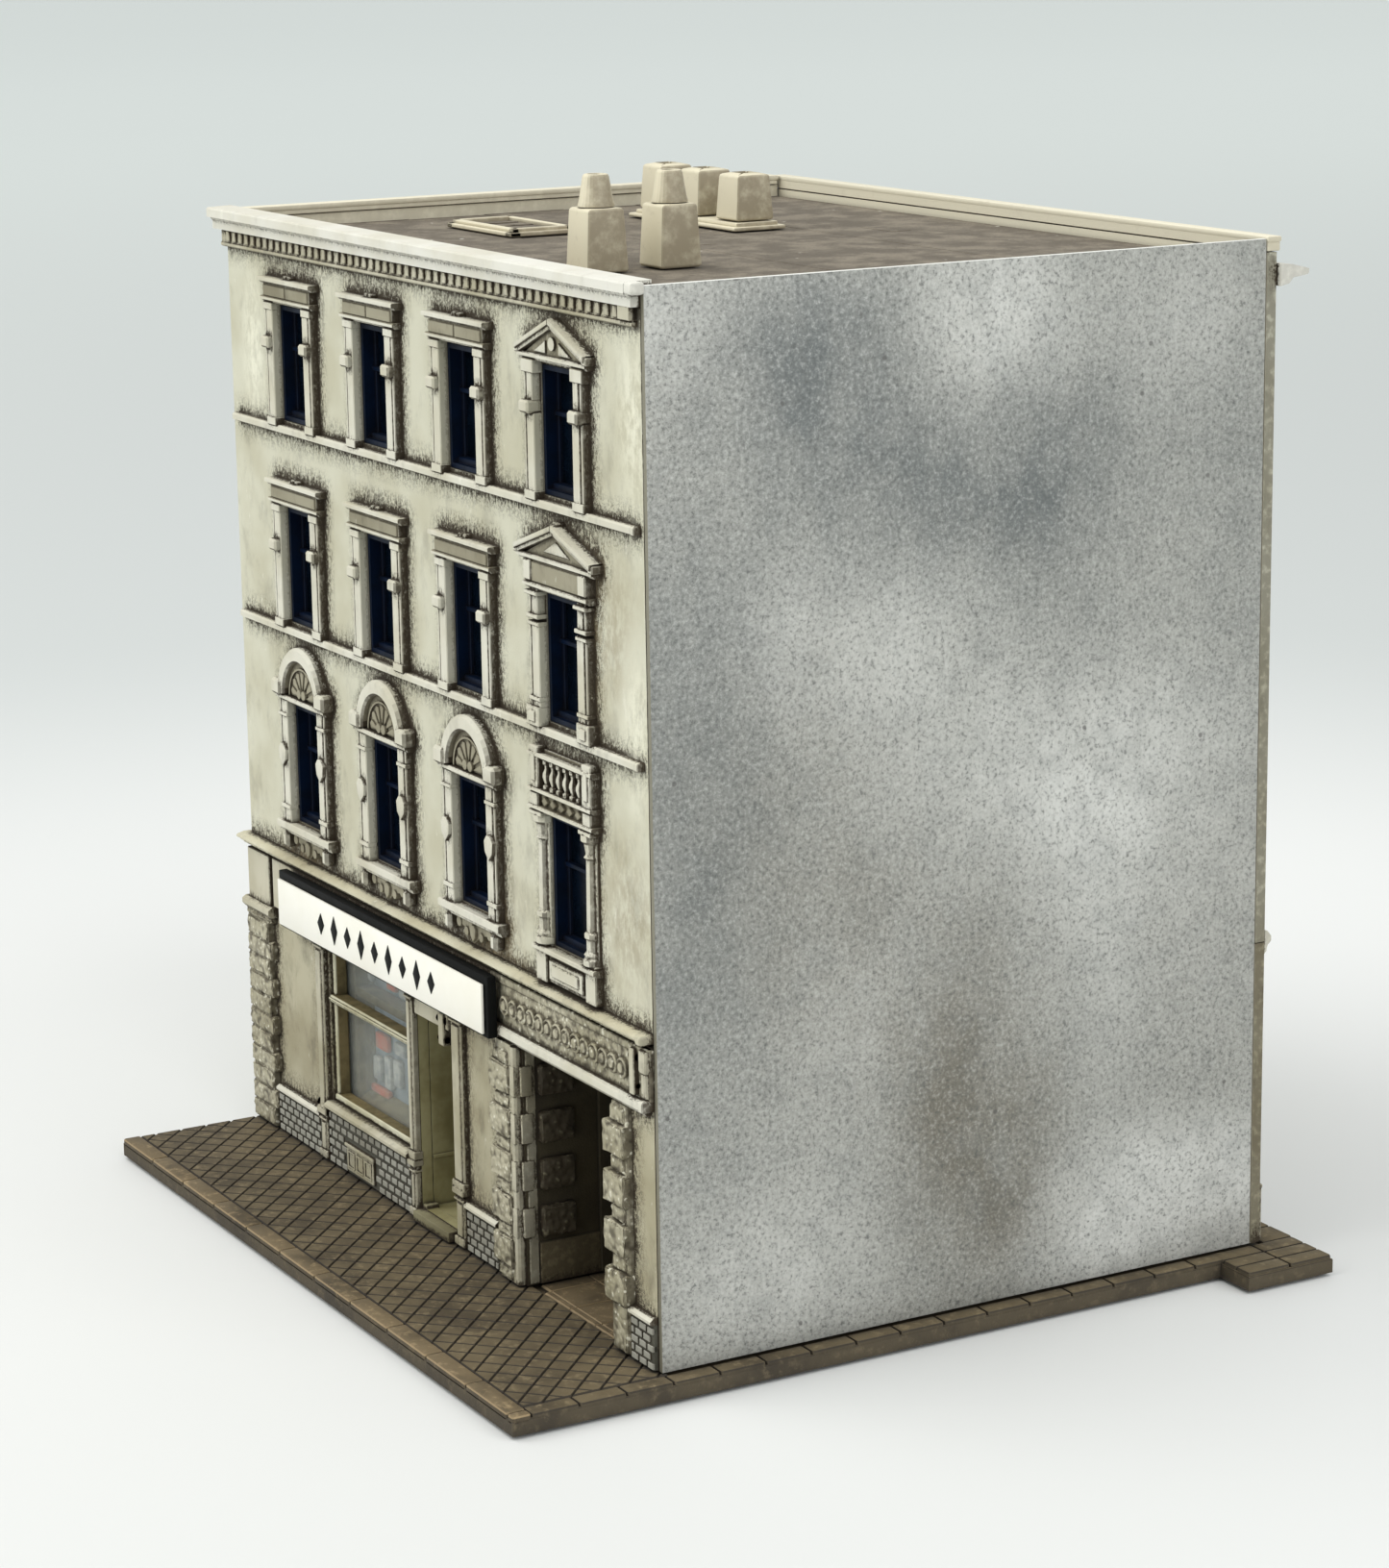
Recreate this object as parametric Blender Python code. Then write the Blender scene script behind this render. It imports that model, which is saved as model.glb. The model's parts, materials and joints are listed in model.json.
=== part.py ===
"""Corner shop tenement, a static building kit for an N gauge layout, 1:160.

Every moulding, card and film of the kit is its own object. Sizes are millimetres,
measured from the front left corner of the walls: X runs right along the street
front, Y runs back from the front wall's face, and Z runs up from the pavement.
"""
import math

import bmesh
import bpy
from mathutils import Vector

# Driving dimensions, in millimetres.
WIDTH = 91.0             # street front, without the cover sheet on the right
DEPTH = 67.0             # front wall face to the rear end of the party walls
WALL_TOP = 100.0         # pavement to the top edge of the cover sheet
ROOF_LEVEL = 98.0        # pavement to the roof surface
BASE_THICKNESS = 1.9
KERB_DEPTH = 16.5        # how far the pavement runs out in front of the walls
SKIN = 1.2               # thickness of the facade mouldings
SHEET = 0.6              # thickness of the cover sheet
GAP = 0.1                # glue line between touching pieces
LEFT_END = -1.6          # cornice end on the left
RIGHT_END = 98.3         # end of the rear pavement slab on the right
REAR_END = 72.3          # end of the rear pavement strip
REAR_FACE = 68.2         # outer face of the rear wall

BAY_FIRST = 16.7         # centre of the first window bay
BAY_PITCH = 19.65
BAY_COUNT = 4
WINDOW_WIDTH = 7.4
TRANSOM = 0.62           # height of the transom bar, as a share of the opening
PILASTER = (3.5, 5.7)     # inner and outer edge of a pilaster, from the bay centre
FLOORS = {1: (36.3, 49.2), 2: (57.9, 70.2), 3: (79.2, 91.3)}
RELIEF = 0.85            # how far the window surrounds stand out
EMBED = 0.4              # how far trim is sunk in its wall
DENTIL_FIRST = 1.4       # left edge of the first dentil under the roof cornice
DENTIL_PITCH = 1.62
DENTIL_WIDTH = 0.85
DENTIL_COUNT = 54

GROUND_TOP = 31.1        # top of the shop front moulding
CORNICE_TOP = 32.4       # top of the ledge above the shop front
GATE = (64.6, 83.4)      # left and right faces of the gateway
GATE_HEIGHT = 24.5
GATE_POSTS = ((59.3, 64.3), (83.7, 87.4))
COURSE_FIRST = 5.0       # underside of the lowest rusticated block of a gate post
COURSE_PITCH = 4.8
COURSE_HEIGHT = 3.1
COURSE_COUNT = 4
SHOP = (19.6, 39.4)      # shop window opening
SHOP_HEIGHT = (7.0, 24.2)
DOOR = (41.0, 49.5)      # shop door recess
DOOR_HEIGHT = (1.3, 22.0)
DOOR_DEPTH = 5.2

STACK_BASE = (4.6, 4.5)
STACK_TOP = (4.2, 3.8)
STACK_HEIGHT = 6.0
FRONT_STACKS = {"a": (62.7, 10.95), "b": (62.8, 18.75)}
REAR_STACKS = {"left": (17.4, 43.7), "middle": (25.6, 43.7), "right": (33.8, 43.7)}
PLINTH_HEIGHT = 0.9

MM = 0.001
CENTRE = Vector(((LEFT_END + RIGHT_END) / 2, (REAR_END - KERB_DEPTH) / 2, -BASE_THICKNESS))
PLASTER = "ivory_plaster"


def clear_scene():
    """Remove whatever the file holds."""
    for item in list(bpy.data.objects):
        bpy.data.objects.remove(item, do_unlink=True)


def make_finish(name, colour, roughness, alpha=1.0):
    """Make a plain finish."""
    finish = bpy.data.materials.new(name)
    finish.use_nodes = True
    shader = finish.node_tree.nodes["Principled BSDF"]
    shader.inputs["Base Color"].default_value = (*colour, 1.0)
    shader.inputs["Roughness"].default_value = roughness
    shader.inputs["Metallic"].default_value = 0.0
    shader.inputs["Alpha"].default_value = alpha
    return finish


def bay_centre(bay):
    """Give the centre line of a window bay, counted from 0 on the left."""
    return BAY_FIRST + bay * BAY_PITCH


class Kit:
    """Adds the pieces of the kit, all hung on one empty at the front left corner."""

    def __init__(self):
        self.corner = bpy.data.objects.new("front_left_corner", None)
        self.corner.location = -CENTRE * MM
        bpy.context.collection.objects.link(self.corner)
        self.finishes = {}

    def add_finish(self, name, colour, roughness, alpha=1.0):
        """Keep a finish under its name."""
        self.finishes[name] = make_finish(name, colour, roughness, alpha)

    def place(self, name, shape, centre, finish):
        """Turn a bmesh in millimetres about its own centre into a placed object."""
        bmesh.ops.scale(shape, vec=(MM, MM, MM), verts=shape.verts)
        bmesh.ops.recalc_face_normals(shape, faces=shape.faces)
        mesh = bpy.data.meshes.new(name)
        shape.to_mesh(mesh)
        shape.free()
        piece = bpy.data.objects.new(name, mesh)
        piece.location = Vector(centre) * MM
        piece.parent = self.corner
        bpy.context.collection.objects.link(piece)
        if finish:
            mesh.materials.append(self.finishes[finish])
        return piece

    def block(self, name, low, high, finish=None):
        """Make a rectangular block between two corners."""
        low, high = Vector(low), Vector(high)
        shape = bmesh.new()
        bmesh.ops.create_cube(shape, size=1.0)
        bmesh.ops.scale(shape, vec=high - low, verts=shape.verts)
        return self.place(name, shape, (low + high) / 2, finish)

    def prism(self, name, outline, start, end, axis, finish=None):
        """Extrude an outline along X ("x"), Y ("y") or Z ("z"), from start to end."""
        spread = {"x": lambda u, v, w: (w, u, v), "y": lambda u, v, w: (u, w, v),
                  "z": lambda u, v, w: (u, v, w)}[axis]
        shape = bmesh.new()
        ring = [shape.verts.new(spread(u, v, start)) for u, v in outline]
        face = shape.faces.new(ring)
        grown = bmesh.ops.extrude_face_region(shape, geom=[face])
        moved = [item for item in grown["geom"] if isinstance(item, bmesh.types.BMVert)]
        bmesh.ops.translate(shape, vec=spread(0, 0, end - start), verts=moved)
        return self.place(name, shape, (0, 0, 0), finish)

    def taper(self, name, base, top, low, height, centre, finish, sides=4):
        """Make a block or a round pot that narrows towards its top."""
        shape = bmesh.new()
        if sides == 4:
            bmesh.ops.create_cube(shape, size=1.0)
        else:
            bmesh.ops.create_cone(shape, cap_ends=True, segments=sides, radius1=0.5,
                                  radius2=0.5, depth=1.0)
        for vert in shape.verts:
            size = top if vert.co.z > 0 else base
            vert.co.x *= size[0]
            vert.co.y *= size[1]
            vert.co.z *= height
        piece = self.place(name, shape, (*centre, low + height / 2), finish)
        if sides > 4:
            piece.data.shade_smooth()
            piece.data.set_sharp_from_angle(angle=math.radians(40))
        return piece

    def combine(self, target, operation, tools):
        """Fuse tools with a piece, or cut them out of it, and hide the tools."""
        group = bpy.data.collections.new(target.name + "_" + operation.lower())
        for tool in tools:
            group.objects.link(tool)
            tool.hide_render = True
            tool.display_type = "WIRE"
        boolean = target.modifiers.new(operation.lower(), "BOOLEAN")
        boolean.operation = operation
        boolean.operand_type = "COLLECTION"
        boolean.collection = group
        boolean.solver = "EXACT"
        return target

    def cut(self, target, tools):
        """Cut tools out of a piece."""
        return self.combine(target, "DIFFERENCE", tools)

    def fuse(self, target, tools):
        """Fuse tools with a piece."""
        return self.combine(target, "UNION", tools)

    def soften(self, piece, width):
        """Round a piece's sharp edges a little, as a moulding's are."""
        bevel = piece.modifiers.new("soft_edges", "BEVEL")
        bevel.width = width * MM
        bevel.segments = 2
        bevel.limit_method = "ANGLE"
        return piece


def arch_outline(centre, spring, inner, outer, steps=10):
    """Give the outline of a half ring that stands on its two ends."""
    angles = [math.pi * step / steps for step in range(steps + 1)]
    rim = [(centre + outer * math.cos(a), spring + outer * math.sin(a)) for a in angles]
    well = [(centre + inner * math.cos(a), spring + inner * math.sin(a)) for a in reversed(angles)]
    return rim + well


class Facade:
    """The street front: openings and surrounds of the window bays."""

    def __init__(self, kit):
        self.kit = kit
        self.trims = []

    def trim(self, low_x, high_x, low_z, high_z, stand_out):
        """Add a block of relief on the front wall."""
        name = "front_trim_%02d" % len(self.trims)
        low = (low_x, -stand_out, low_z)
        self.trims.append(self.kit.block(name, low, (high_x, EMBED, high_z)))

    def profile(self, outline, stand_out):
        """Add relief with a free outline in the wall's plane."""
        name = "front_trim_%02d" % len(self.trims)
        self.trims.append(self.kit.prism(name, outline, -stand_out, EMBED, "y"))

    def jambs(self, centre, low, high):
        """Add the two pilasters beside a window."""
        for side in (-1, 1):
            inner, outer = centre + side * PILASTER[0], centre + side * PILASTER[1]
            self.trim(min(inner, outer), max(inner, outer), low, high, RELIEF)

    def ears(self, centre, level):
        """Add the square blocks that stand out of the pilasters."""
        for side in (-1, 1):
            inner, outer = centre + side * 3.4, centre + side * 5.9
            self.trim(min(inner, outer), max(inner, outer), level, level + 1.2, RELIEF + 0.45)

    def head(self, centre, high, hood_half):
        """Add the lintel ledge, the frieze and the hood over a window."""
        self.trim(centre - 6.2, centre + 6.2, high + 0.2, high + 0.75, 1.0)
        self.trim(centre - 5.8, centre + 5.8, high + 0.6, high + 2.2, 0.95)
        self.trim(centre - hood_half, centre + hood_half, high + 2.1, high + 2.75, 1.15)

    def pediment(self, centre, low, half, rise):
        """Add a triangular gable over a window."""
        outline = [(centre - half, low), (centre + half, low), (centre + half, low + 0.7),
                   (centre, low + rise), (centre - half, low + 0.7)]
        self.profile(outline, 1.1)

    def plain_window(self, centre, floor):
        """Dress a window with pilasters, ears and a straight hood."""
        low, high = FLOORS[floor]
        self.jambs(centre, low - 0.7, high + 0.4)
        self.ears(centre, low + 7.6)
        self.head(centre, high, 6.5)

    def gabled_window(self, centre):
        """Dress the top window of the last bay."""
        low, high = FLOORS[3]
        self.jambs(centre, low - 0.7, high + 0.4)
        self.ears(centre, low + 7.6)
        self.pediment(centre, high + 0.3, 6.6, 3.4)

    def great_window(self, centre):
        """Dress the second floor window of the last bay."""
        low, high = FLOORS[2]
        self.jambs(centre, low + 1.2, high + 0.4)
        for side in (-1, 1):
            inner, outer = centre + side * 3.4, centre + side * 6.2
            self.trim(min(inner, outer), max(inner, outer), low - 0.7, low + 1.4, 1.1)
        self.trim(centre - 6.3, centre + 6.3, high + 0.2, high + 0.75, 1.1)
        self.trim(centre - 6.1, centre + 6.1, high + 0.6, high + 2.9, 0.9)
        self.pediment(centre, high + 2.75, 7.5, 3.3)

    def arched_window(self, centre):
        """Dress a first floor window with an arched hood, a sill and an apron."""
        low, high = FLOORS[1]
        self.jambs(centre, low - 0.6, high + 0.5)
        self.trim(centre - 6.1, centre + 6.1, high + 0.2, high + 0.85, 1.0)
        outline = arch_outline(centre, high + 0.9, 4.1, 5.3)
        self.profile(outline, 1.3)
        for side in (-1, 1):
            inner, outer = centre + side * 4.4, centre + side * 6.7
            self.trim(min(inner, outer), max(inner, outer), high + 1.3, high + 2.4, 1.2)
        self.trim(centre - 4.2, centre + 4.2, high + 0.6, high + 3.0, 0.6)
        self.trim(centre - 6.6, centre + 6.6, low - 1.3, low - 0.1, 1.2)
        outline = [(centre - 5.6, low - 1.2), (centre + 5.6, low - 1.2), (centre + 2.2, low - 2.6),
                   (centre, low - 3.4), (centre - 2.2, low - 2.6)]
        self.profile(outline, 0.6)

    def balustrade_window(self, centre):
        """Dress the first floor window of the last bay."""
        low, high = FLOORS[1]
        self.jambs(centre, low - 0.3, high + 0.35)
        self.trim(centre - 6.2, centre + 6.2, low - 3.7, low + 0.2, 0.7)
        self.trim(centre - 6.4, centre + 6.4, high + 0.1, high + 0.6, 1.1)
        self.trim(centre - 6.0, centre + 6.0, high + 0.4, high + 1.9, 0.8)
        self.trim(centre - 6.1, centre + 6.1, high + 1.8, high + 6.3, 0.9)

    def build(self):
        """Make the upper front wall with its relief and its window openings."""
        kit = self.kit
        wall = kit.block("front_wall_upper", (0, 0, CORNICE_TOP + GAP), (WIDTH, SKIN, ROOF_LEVEL),
                         PLASTER)
        for floor in (2, 3):
            ledge = FLOORS[floor][0] - 0.45
            self.trim(0.2, 90.3, ledge - 0.85, ledge, 0.8)
        for bay in range(BAY_COUNT - 1):
            self.plain_window(bay_centre(bay), 3)
            self.plain_window(bay_centre(bay), 2)
            self.arched_window(bay_centre(bay))
        last = bay_centre(BAY_COUNT - 1)
        self.gabled_window(last)
        self.great_window(last)
        self.balustrade_window(last)
        kit.fuse(wall, self.trims)
        openings = []
        for floor, (low, high) in FLOORS.items():
            for bay in range(BAY_COUNT):
                left = bay_centre(bay) - WINDOW_WIDTH / 2
                name = "front_opening_%d_%d" % (floor, bay + 1)
                openings.append(kit.block(name, (left, -3, low), (left + WINDOW_WIDTH, 3, high)))
        return kit.cut(wall, openings)


def add_base(kit):
    """Pavement moulding, with the slab that runs out at the rear right corner."""
    front, right = -KERB_DEPTH, WIDTH + 2.7
    outline = [(-0.3, front), (right, front), (right, 62.0), (RIGHT_END, 62.0),
               (RIGHT_END, REAR_END), (-0.3, REAR_END)]
    base = kit.prism("base_plate", outline, -BASE_THICKNESS, 0.0, "z", "pavement")
    kit.soften(base, 0.35)


def add_ground_front(kit):
    """Shop front moulding, with its openings, plinths, pillars and rusticated gate posts.

    Each piece of relief is given by its low front corner, then its right edge and its top.
    """
    wall = kit.block("front_wall_ground", (0, 0, GAP), (WIDTH, SKIN, GROUND_TOP), "ground_plaster")
    relief = [((-0.4, -0.8, 4.9), (6.0, 24.2)), ((-0.5, -1.0, 24.0), (6.2, 25.2)),
              ((0.2, -0.5, 0.3), (17.0, 5.0)), ((0.1, -0.7, 4.8), (17.1, 5.4)),
              ((17.2, -0.6, 0.3), (19.2, 25.0)), ((17.1, -0.9, 5.9), (19.3, 6.5)),
              ((19.4, -0.5, 0.3), (39.8, 6.3)), ((19.3, -1.1, 6.2), (39.9, 6.95)),
              ((39.9, -0.5, 0.3), (40.8, 24.6)), ((49.9, -0.6, 0.3), (52.5, 24.8)),
              ((49.8, -0.9, 5.8), (52.6, 6.5)), ((52.7, -0.5, 0.3), (59.0, 5.0)),
              ((59.3, -0.7, 0.3), (64.2, 4.7)), ((59.3, -0.7, 24.4), (90.4, 25.4)),
              ((59.4, -0.5, 26.2), (90.2, 30.9)), ((83.8, -0.6, 0.3), (90.7, 4.6))]
    for left, right in GATE_POSTS:
        for course in range(COURSE_COUNT):
            low = COURSE_FIRST + course * COURSE_PITCH
            relief.append(((left, -1.1, low), (right, low + COURSE_HEIGHT)))
    trims = []
    for number, (low, high) in enumerate(relief):
        high = (high[0], EMBED + 0.01 * (number % 7), high[1])
        trims.append(kit.block("shop_trim_%02d" % number, low, high))
    kit.fuse(wall, trims)
    holes = [kit.block("gate_hole", (GATE[0], -3, -3), (GATE[1], 3, GATE_HEIGHT)),
             kit.block("shop_hole", (SHOP[0], -3, SHOP_HEIGHT[0]), (SHOP[1], 3, SHOP_HEIGHT[1])),
             kit.block("door_hole", (DOOR[0], -3, DOOR_HEIGHT[0]), (DOOR[1], 3, DOOR_HEIGHT[1]))]
    kit.cut(wall, holes)


def add_cornices(kit):
    """Ledge over the shop front, roof cornice, and their plainer fellows at the rear."""
    kit.prism("ground_cornice", [(SKIN, GROUND_TOP + GAP), (SKIN, CORNICE_TOP), (-1.4, CORNICE_TOP),
                                 (-1.4, 31.8), (-0.9, 31.4), (-0.9, GROUND_TOP + GAP)],
              -1.0, WIDTH, "x", "cornice_white")
    low = ROOF_LEVEL + GAP
    crown = kit.prism("roof_cornice", [(SKIN, low), (SKIN, 100.4), (-1.6, 100.3), (-1.6, 99.3),
                                       (-1.0, 99.1), (-1.0, low)],
                      LEFT_END, WIDTH, "x", "cornice_white")
    trims = [kit.block("fascia", (-1.0, -0.95, 97.95), (90.6, -GAP, 99.2))]
    trims.append(kit.block("crown_return", (90.0, -1.55, 99.35), (92.3, -GAP, 100.25)))
    trims.append(kit.block("dentil_backing", (-0.3, -0.45, 96.4), (90.6, -GAP, 98.05)))
    trims.append(kit.block("bead", (-0.3, -0.6, 96.3), (90.6, -GAP * 1.5, 96.85)))
    for number in range(DENTIL_COUNT):
        left = DENTIL_FIRST + number * DENTIL_PITCH
        right = left + DENTIL_WIDTH
        trims.append(kit.block("dentil_%02d" % number, (left, -0.8, 97.0), (right, -0.3, 98.0)))
    kit.fuse(crown, trims)
    rear = REAR_FACE
    kit.prism("rear_cornice", [(rear + GAP, 95.5), (REAR_END - 0.7, 96.3), (REAR_END - 0.7, 96.9),
                               (rear + GAP, 97.6)], -0.5, 92.3, "x", "cornice_white")
    kit.prism("rear_ledge", [(rear + GAP, 29.9), (rear + 0.9, 30.6), (rear + 0.9, 31.8),
                             (rear + GAP, 32.3)], 0.2, 91.6, "x", "cornice_white")


def add_side_walls(kit):
    """Party walls left and right, the sheet that covers the right one, and the copings."""
    back = DEPTH - GAP
    kit.block("left_party_wall", (0, SKIN + GAP, GAP), (SKIN, back, 99.2), PLASTER)
    kit.block("left_coping", (-0.1, 1.5, 99.3), (SKIN + 0.3, 66.7, 100.3), "coping")
    kit.block("right_party_wall", (WIDTH - SKIN, SKIN + GAP, GAP), (WIDTH, back, 96.6), PLASTER)
    kit.block("right_cover_sheet", (WIDTH + GAP, 0, GAP), (WIDTH + GAP + SHEET, DEPTH, WALL_TOP),
              "silver_card")


def add_rear_walls(kit):
    """Rear facade with plain window surrounds, back door and gateway mouth."""
    front = DEPTH + GAP
    upper = kit.block("rear_wall_upper", (0, front, GROUND_TOP + GAP), (WIDTH + 0.7, REAR_FACE, 98.7),
                      PLASTER)
    trims, holes = [], []
    for floor, (low, high) in FLOORS.items():
        for bay in range(BAY_COUNT):
            centre = bay_centre(bay)
            sizes = [((centre - 5.0, low - 1.0), (centre + 5.0, low - 0.1), 0.5),
                     ((centre - 4.7, low - 0.2), (centre + 4.7, high + 1.0), 0.25),
                     ((centre - 5.2, high + 0.9), (centre + 5.2, high + 1.6), 0.55)]
            for number, (corner, other, out) in enumerate(sizes):
                name = "rear_trim_%d_%d_%d" % (floor, bay + 1, number)
                low_corner = (corner[0], REAR_FACE - EMBED - 0.02 * number, corner[1])
                trims.append(kit.block(name, low_corner, (other[0], REAR_FACE + out, other[1])))
            name = "rear_opening_%d_%d" % (floor, bay + 1)
            half = WINDOW_WIDTH / 2
            holes.append(kit.block(name, (centre - half, front - 2, low), (centre + half, 71, high)))
    kit.fuse(upper, trims)
    kit.cut(upper, holes)
    ground = kit.block("rear_wall_ground", (0, front, GAP), (WIDTH + 0.7, REAR_FACE, GROUND_TOP),
                       "ground_plaster")
    plinth = kit.block("rear_plinth", (0.2, REAR_FACE - EMBED, 0.3), (WIDTH + 0.5, 68.6, 5.8))
    kit.fuse(ground, [plinth])
    mouths = [kit.block("rear_gate_hole", (GATE[0], front - 2, -3), (GATE[1], 71, GATE_HEIGHT)),
              kit.block("rear_door_hole", (DOOR[0], front - 2, 1.3), (DOOR[1], 71, 21.0))]
    for bay in range(2):
        left = bay_centre(bay) - 4.0
        name = "rear_store_hole_%d" % (bay + 1)
        mouths.append(kit.block(name, (left, front - 2, 9.0), (left + 8.0, 71, 22.0)))
    kit.cut(ground, mouths)
    kit.block("rear_door", (DOOR[0] + 0.1, 66.2, 1.4), (DOOR[1] - 0.1, DEPTH, 20.9), "door_wood")
    kit.block("rear_parapet", (0, front, 98.8), (WIDTH + 0.7, 68.6, 100.2), "coping")


def add_roof(kit):
    """Roof plate, the chimneys and the roof hatch."""
    kit.block("roof_plate", (SKIN + GAP, 1.5, 96.8), (WIDTH, DEPTH - 2 * GAP, ROOF_LEVEL), "roof_felt")
    for name, centre in FRONT_STACKS.items():
        low = ROOF_LEVEL + GAP
        stack = kit.taper("front_chimney_stack_" + name, STACK_BASE, STACK_TOP, low, STACK_HEIGHT,
                          centre, "chimney_cream")
        kit.soften(stack, 0.2)
        kit.taper("front_chimney_pot_" + name, (3.5, 3.5), (2.5, 2.5), low + STACK_HEIGHT + GAP, 3.0,
                  centre, "chimney_cream", sides=24)
    outer = [centre[0] for centre in REAR_STACKS.values()]
    row = REAR_STACKS["left"][1]
    kit.block("rear_chimney_plinth", (min(outer) - 3.2, row - 3.1, ROOF_LEVEL + GAP),
              (max(outer) + 3.2, row + 3.1, ROOF_LEVEL + PLINTH_HEIGHT), "chimney_cream")
    for name, centre in REAR_STACKS.items():
        low = ROOF_LEVEL + PLINTH_HEIGHT + GAP
        stack = kit.taper("rear_chimney_stack_" + name, STACK_BASE, STACK_TOP, low, 4.7, centre,
                          "chimney_cream")
        well = kit.block("flue_" + name, (centre[0] - 1.2, centre[1] - 1.0, low + 3.0),
                         (centre[0] + 1.2, centre[1] + 1.0, low + 9.0))
        kit.cut(stack, [well])
    low = ROOF_LEVEL + GAP
    frame = kit.block("hatch_frame", (13.0, 19.5, low), (27.8, 27.2, low + 0.8), "chimney_cream")
    kit.cut(frame, [kit.block("hatch_hole", (14.3, 21.0, low - 1), (26.5, 26.2, low + 2))])
    kit.block("hatch_cover", (14.4, 21.1, low), (26.4, 26.1, low + 0.4), "roof_felt")


def add_window_inserts(kit):
    """Dark window frames in the front openings, one moulding each, and the film behind them."""
    for floor, (low, high) in FLOORS.items():
        for bay in range(BAY_COUNT):
            centre = bay_centre(bay)
            half = WINDOW_WIDTH / 2 - GAP
            name = "window_insert_floor%d_bay%d" % (floor, bay + 1)
            insert = kit.block(name, (centre - half, 0.1, low + GAP), (centre + half, 1.9, high - GAP),
                               "window_navy")
            bar = low + TRANSOM * (high - low)
            panes = [(low + 1.1, bar - 0.25), (bar + 0.25, high - 0.8)]
            tools = []
            for number, (bottom, top) in enumerate(panes):
                tools.append(kit.block("%s_pane_%d" % (name, number), (centre - half + 0.6, -1, bottom),
                                       (centre + half - 0.6, 4, top)))
            kit.cut(insert, tools)
        kit.block("front_film_floor%d" % floor, (8.0, 2.0, low - 1.5), (84.0, 2.3, high + 1.5),
                  "clear_film")


def add_rear_windows(kit):
    """Rear window frames, one strip moulding for each floor."""
    for floor, (low, high) in FLOORS.items():
        strip = kit.block("rear_window_strip_floor%d" % floor, (8.0, 66.0, low - 1.0),
                          (84.0, DEPTH, high + 1.0), "window_navy")
        panes = []
        for bay in range(BAY_COUNT):
            centre = bay_centre(bay)
            bar = low + TRANSOM * (high - low)
            for number, (bottom, top) in enumerate([(low + 0.9, bar - 0.25), (bar + 0.25, high - 0.7)]):
                panes.append(kit.block("rear_pane_%d_%d_%d" % (floor, bay, number),
                                       (centre - 3.0, 66.5, bottom), (centre + 3.0, 68.0, top)))
        kit.cut(strip, panes)
    strip = kit.block("rear_window_strip_ground", (9.0, 66.0, 8.0), (40.6, DEPTH, 23.0), "window_navy")
    panes = []
    for bay in range(2):
        centre = bay_centre(bay)
        for side in (-1, 1):
            panes.append(kit.block("rear_store_pane_%d_%d" % (bay, side),
                                   (centre + side * 1.9 - 1.6, 66.5, 9.8),
                                   (centre + side * 1.9 + 1.6, 68.0, 21.2)))
    kit.cut(strip, panes)


def add_shop(kit):
    """Shop window frame, glass, display card, door, door lining and doorstep."""
    left, right = SHOP[0] + GAP, SHOP[1] - GAP
    low, high = SHOP_HEIGHT[0] + GAP, SHOP_HEIGHT[1] - GAP
    frame = kit.block("shop_window_frame", (left, 0.3, low), (right, 1.6, high), "frame_olive")
    lower = kit.block("shop_pane_low", (left + 0.7, -1, low + 0.6), (right - 0.7, 4, 18.0))
    upper = kit.block("shop_pane_high", (left + 0.7, -1, 18.7), (right - 0.7, 4, high - 0.5))
    kit.cut(frame, [lower, upper])
    kit.block("shop_window_glass", (left, 1.7, low), (right, 2.0, high), "shop_glass")
    kit.block("shop_display_card", (left, 4.4, low), (right, 4.8, high), "printed_card")
    lining = kit.block("door_lining", (DOOR[0] - 1.1, SKIN + GAP, GAP), (DOOR[1] + 1.1, DOOR_DEPTH, 23.2),
                       "door_olive")
    hollow = kit.block("door_hollow", (DOOR[0], -1, DOOR_HEIGHT[0]), (DOOR[1], 9, DOOR_HEIGHT[1]))
    kit.cut(lining, [hollow])
    door = kit.block("shop_door", (DOOR[0] - 0.8, DOOR_DEPTH + GAP, 1.3),
                     (DOOR[1] + 0.8, DOOR_DEPTH + 1.0, 22.6), "door_wood")
    light = kit.block("door_light", (DOOR[0] + 1.8, DOOR_DEPTH - 1, 9.0),
                      (DOOR[1] - 1.8, DOOR_DEPTH + 0.5, 20.0))
    kit.cut(door, [light])
    kit.block("doorstep", (DOOR[0] + GAP, -1.2, GAP), (DOOR[1] - GAP, -0.1, 1.2), "pavement")


def add_gateway(kit):
    """Lining of the gateway that leads through the building."""
    front, back = SKIN + GAP, DEPTH
    height = GATE_HEIGHT
    kit.block("gateway_left_wall", (GATE[0] - 1.0, front, GAP), (GATE[0], back, height), "passage_brown")
    kit.block("gateway_right_wall", (GATE[1], front, GAP), (GATE[1] + 1.0, back, height), "passage_brown")
    kit.block("gateway_ceiling", (GATE[0] - 1.0, front, height + GAP),
              (GATE[1] + 1.0, back, height + 1.1), "passage_brown")


def add_sign(kit):
    """Shop sign: a black backing with a white face, hung in front of the shop."""
    kit.block("sign_backing", (11.9, -2.1, 24.8), (61.6, -1.1, 31.0), "sign_black")
    kit.block("sign_face", (12.4, -2.6, 25.2), (61.0, -2.2, 30.2), "sign_white")


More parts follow.
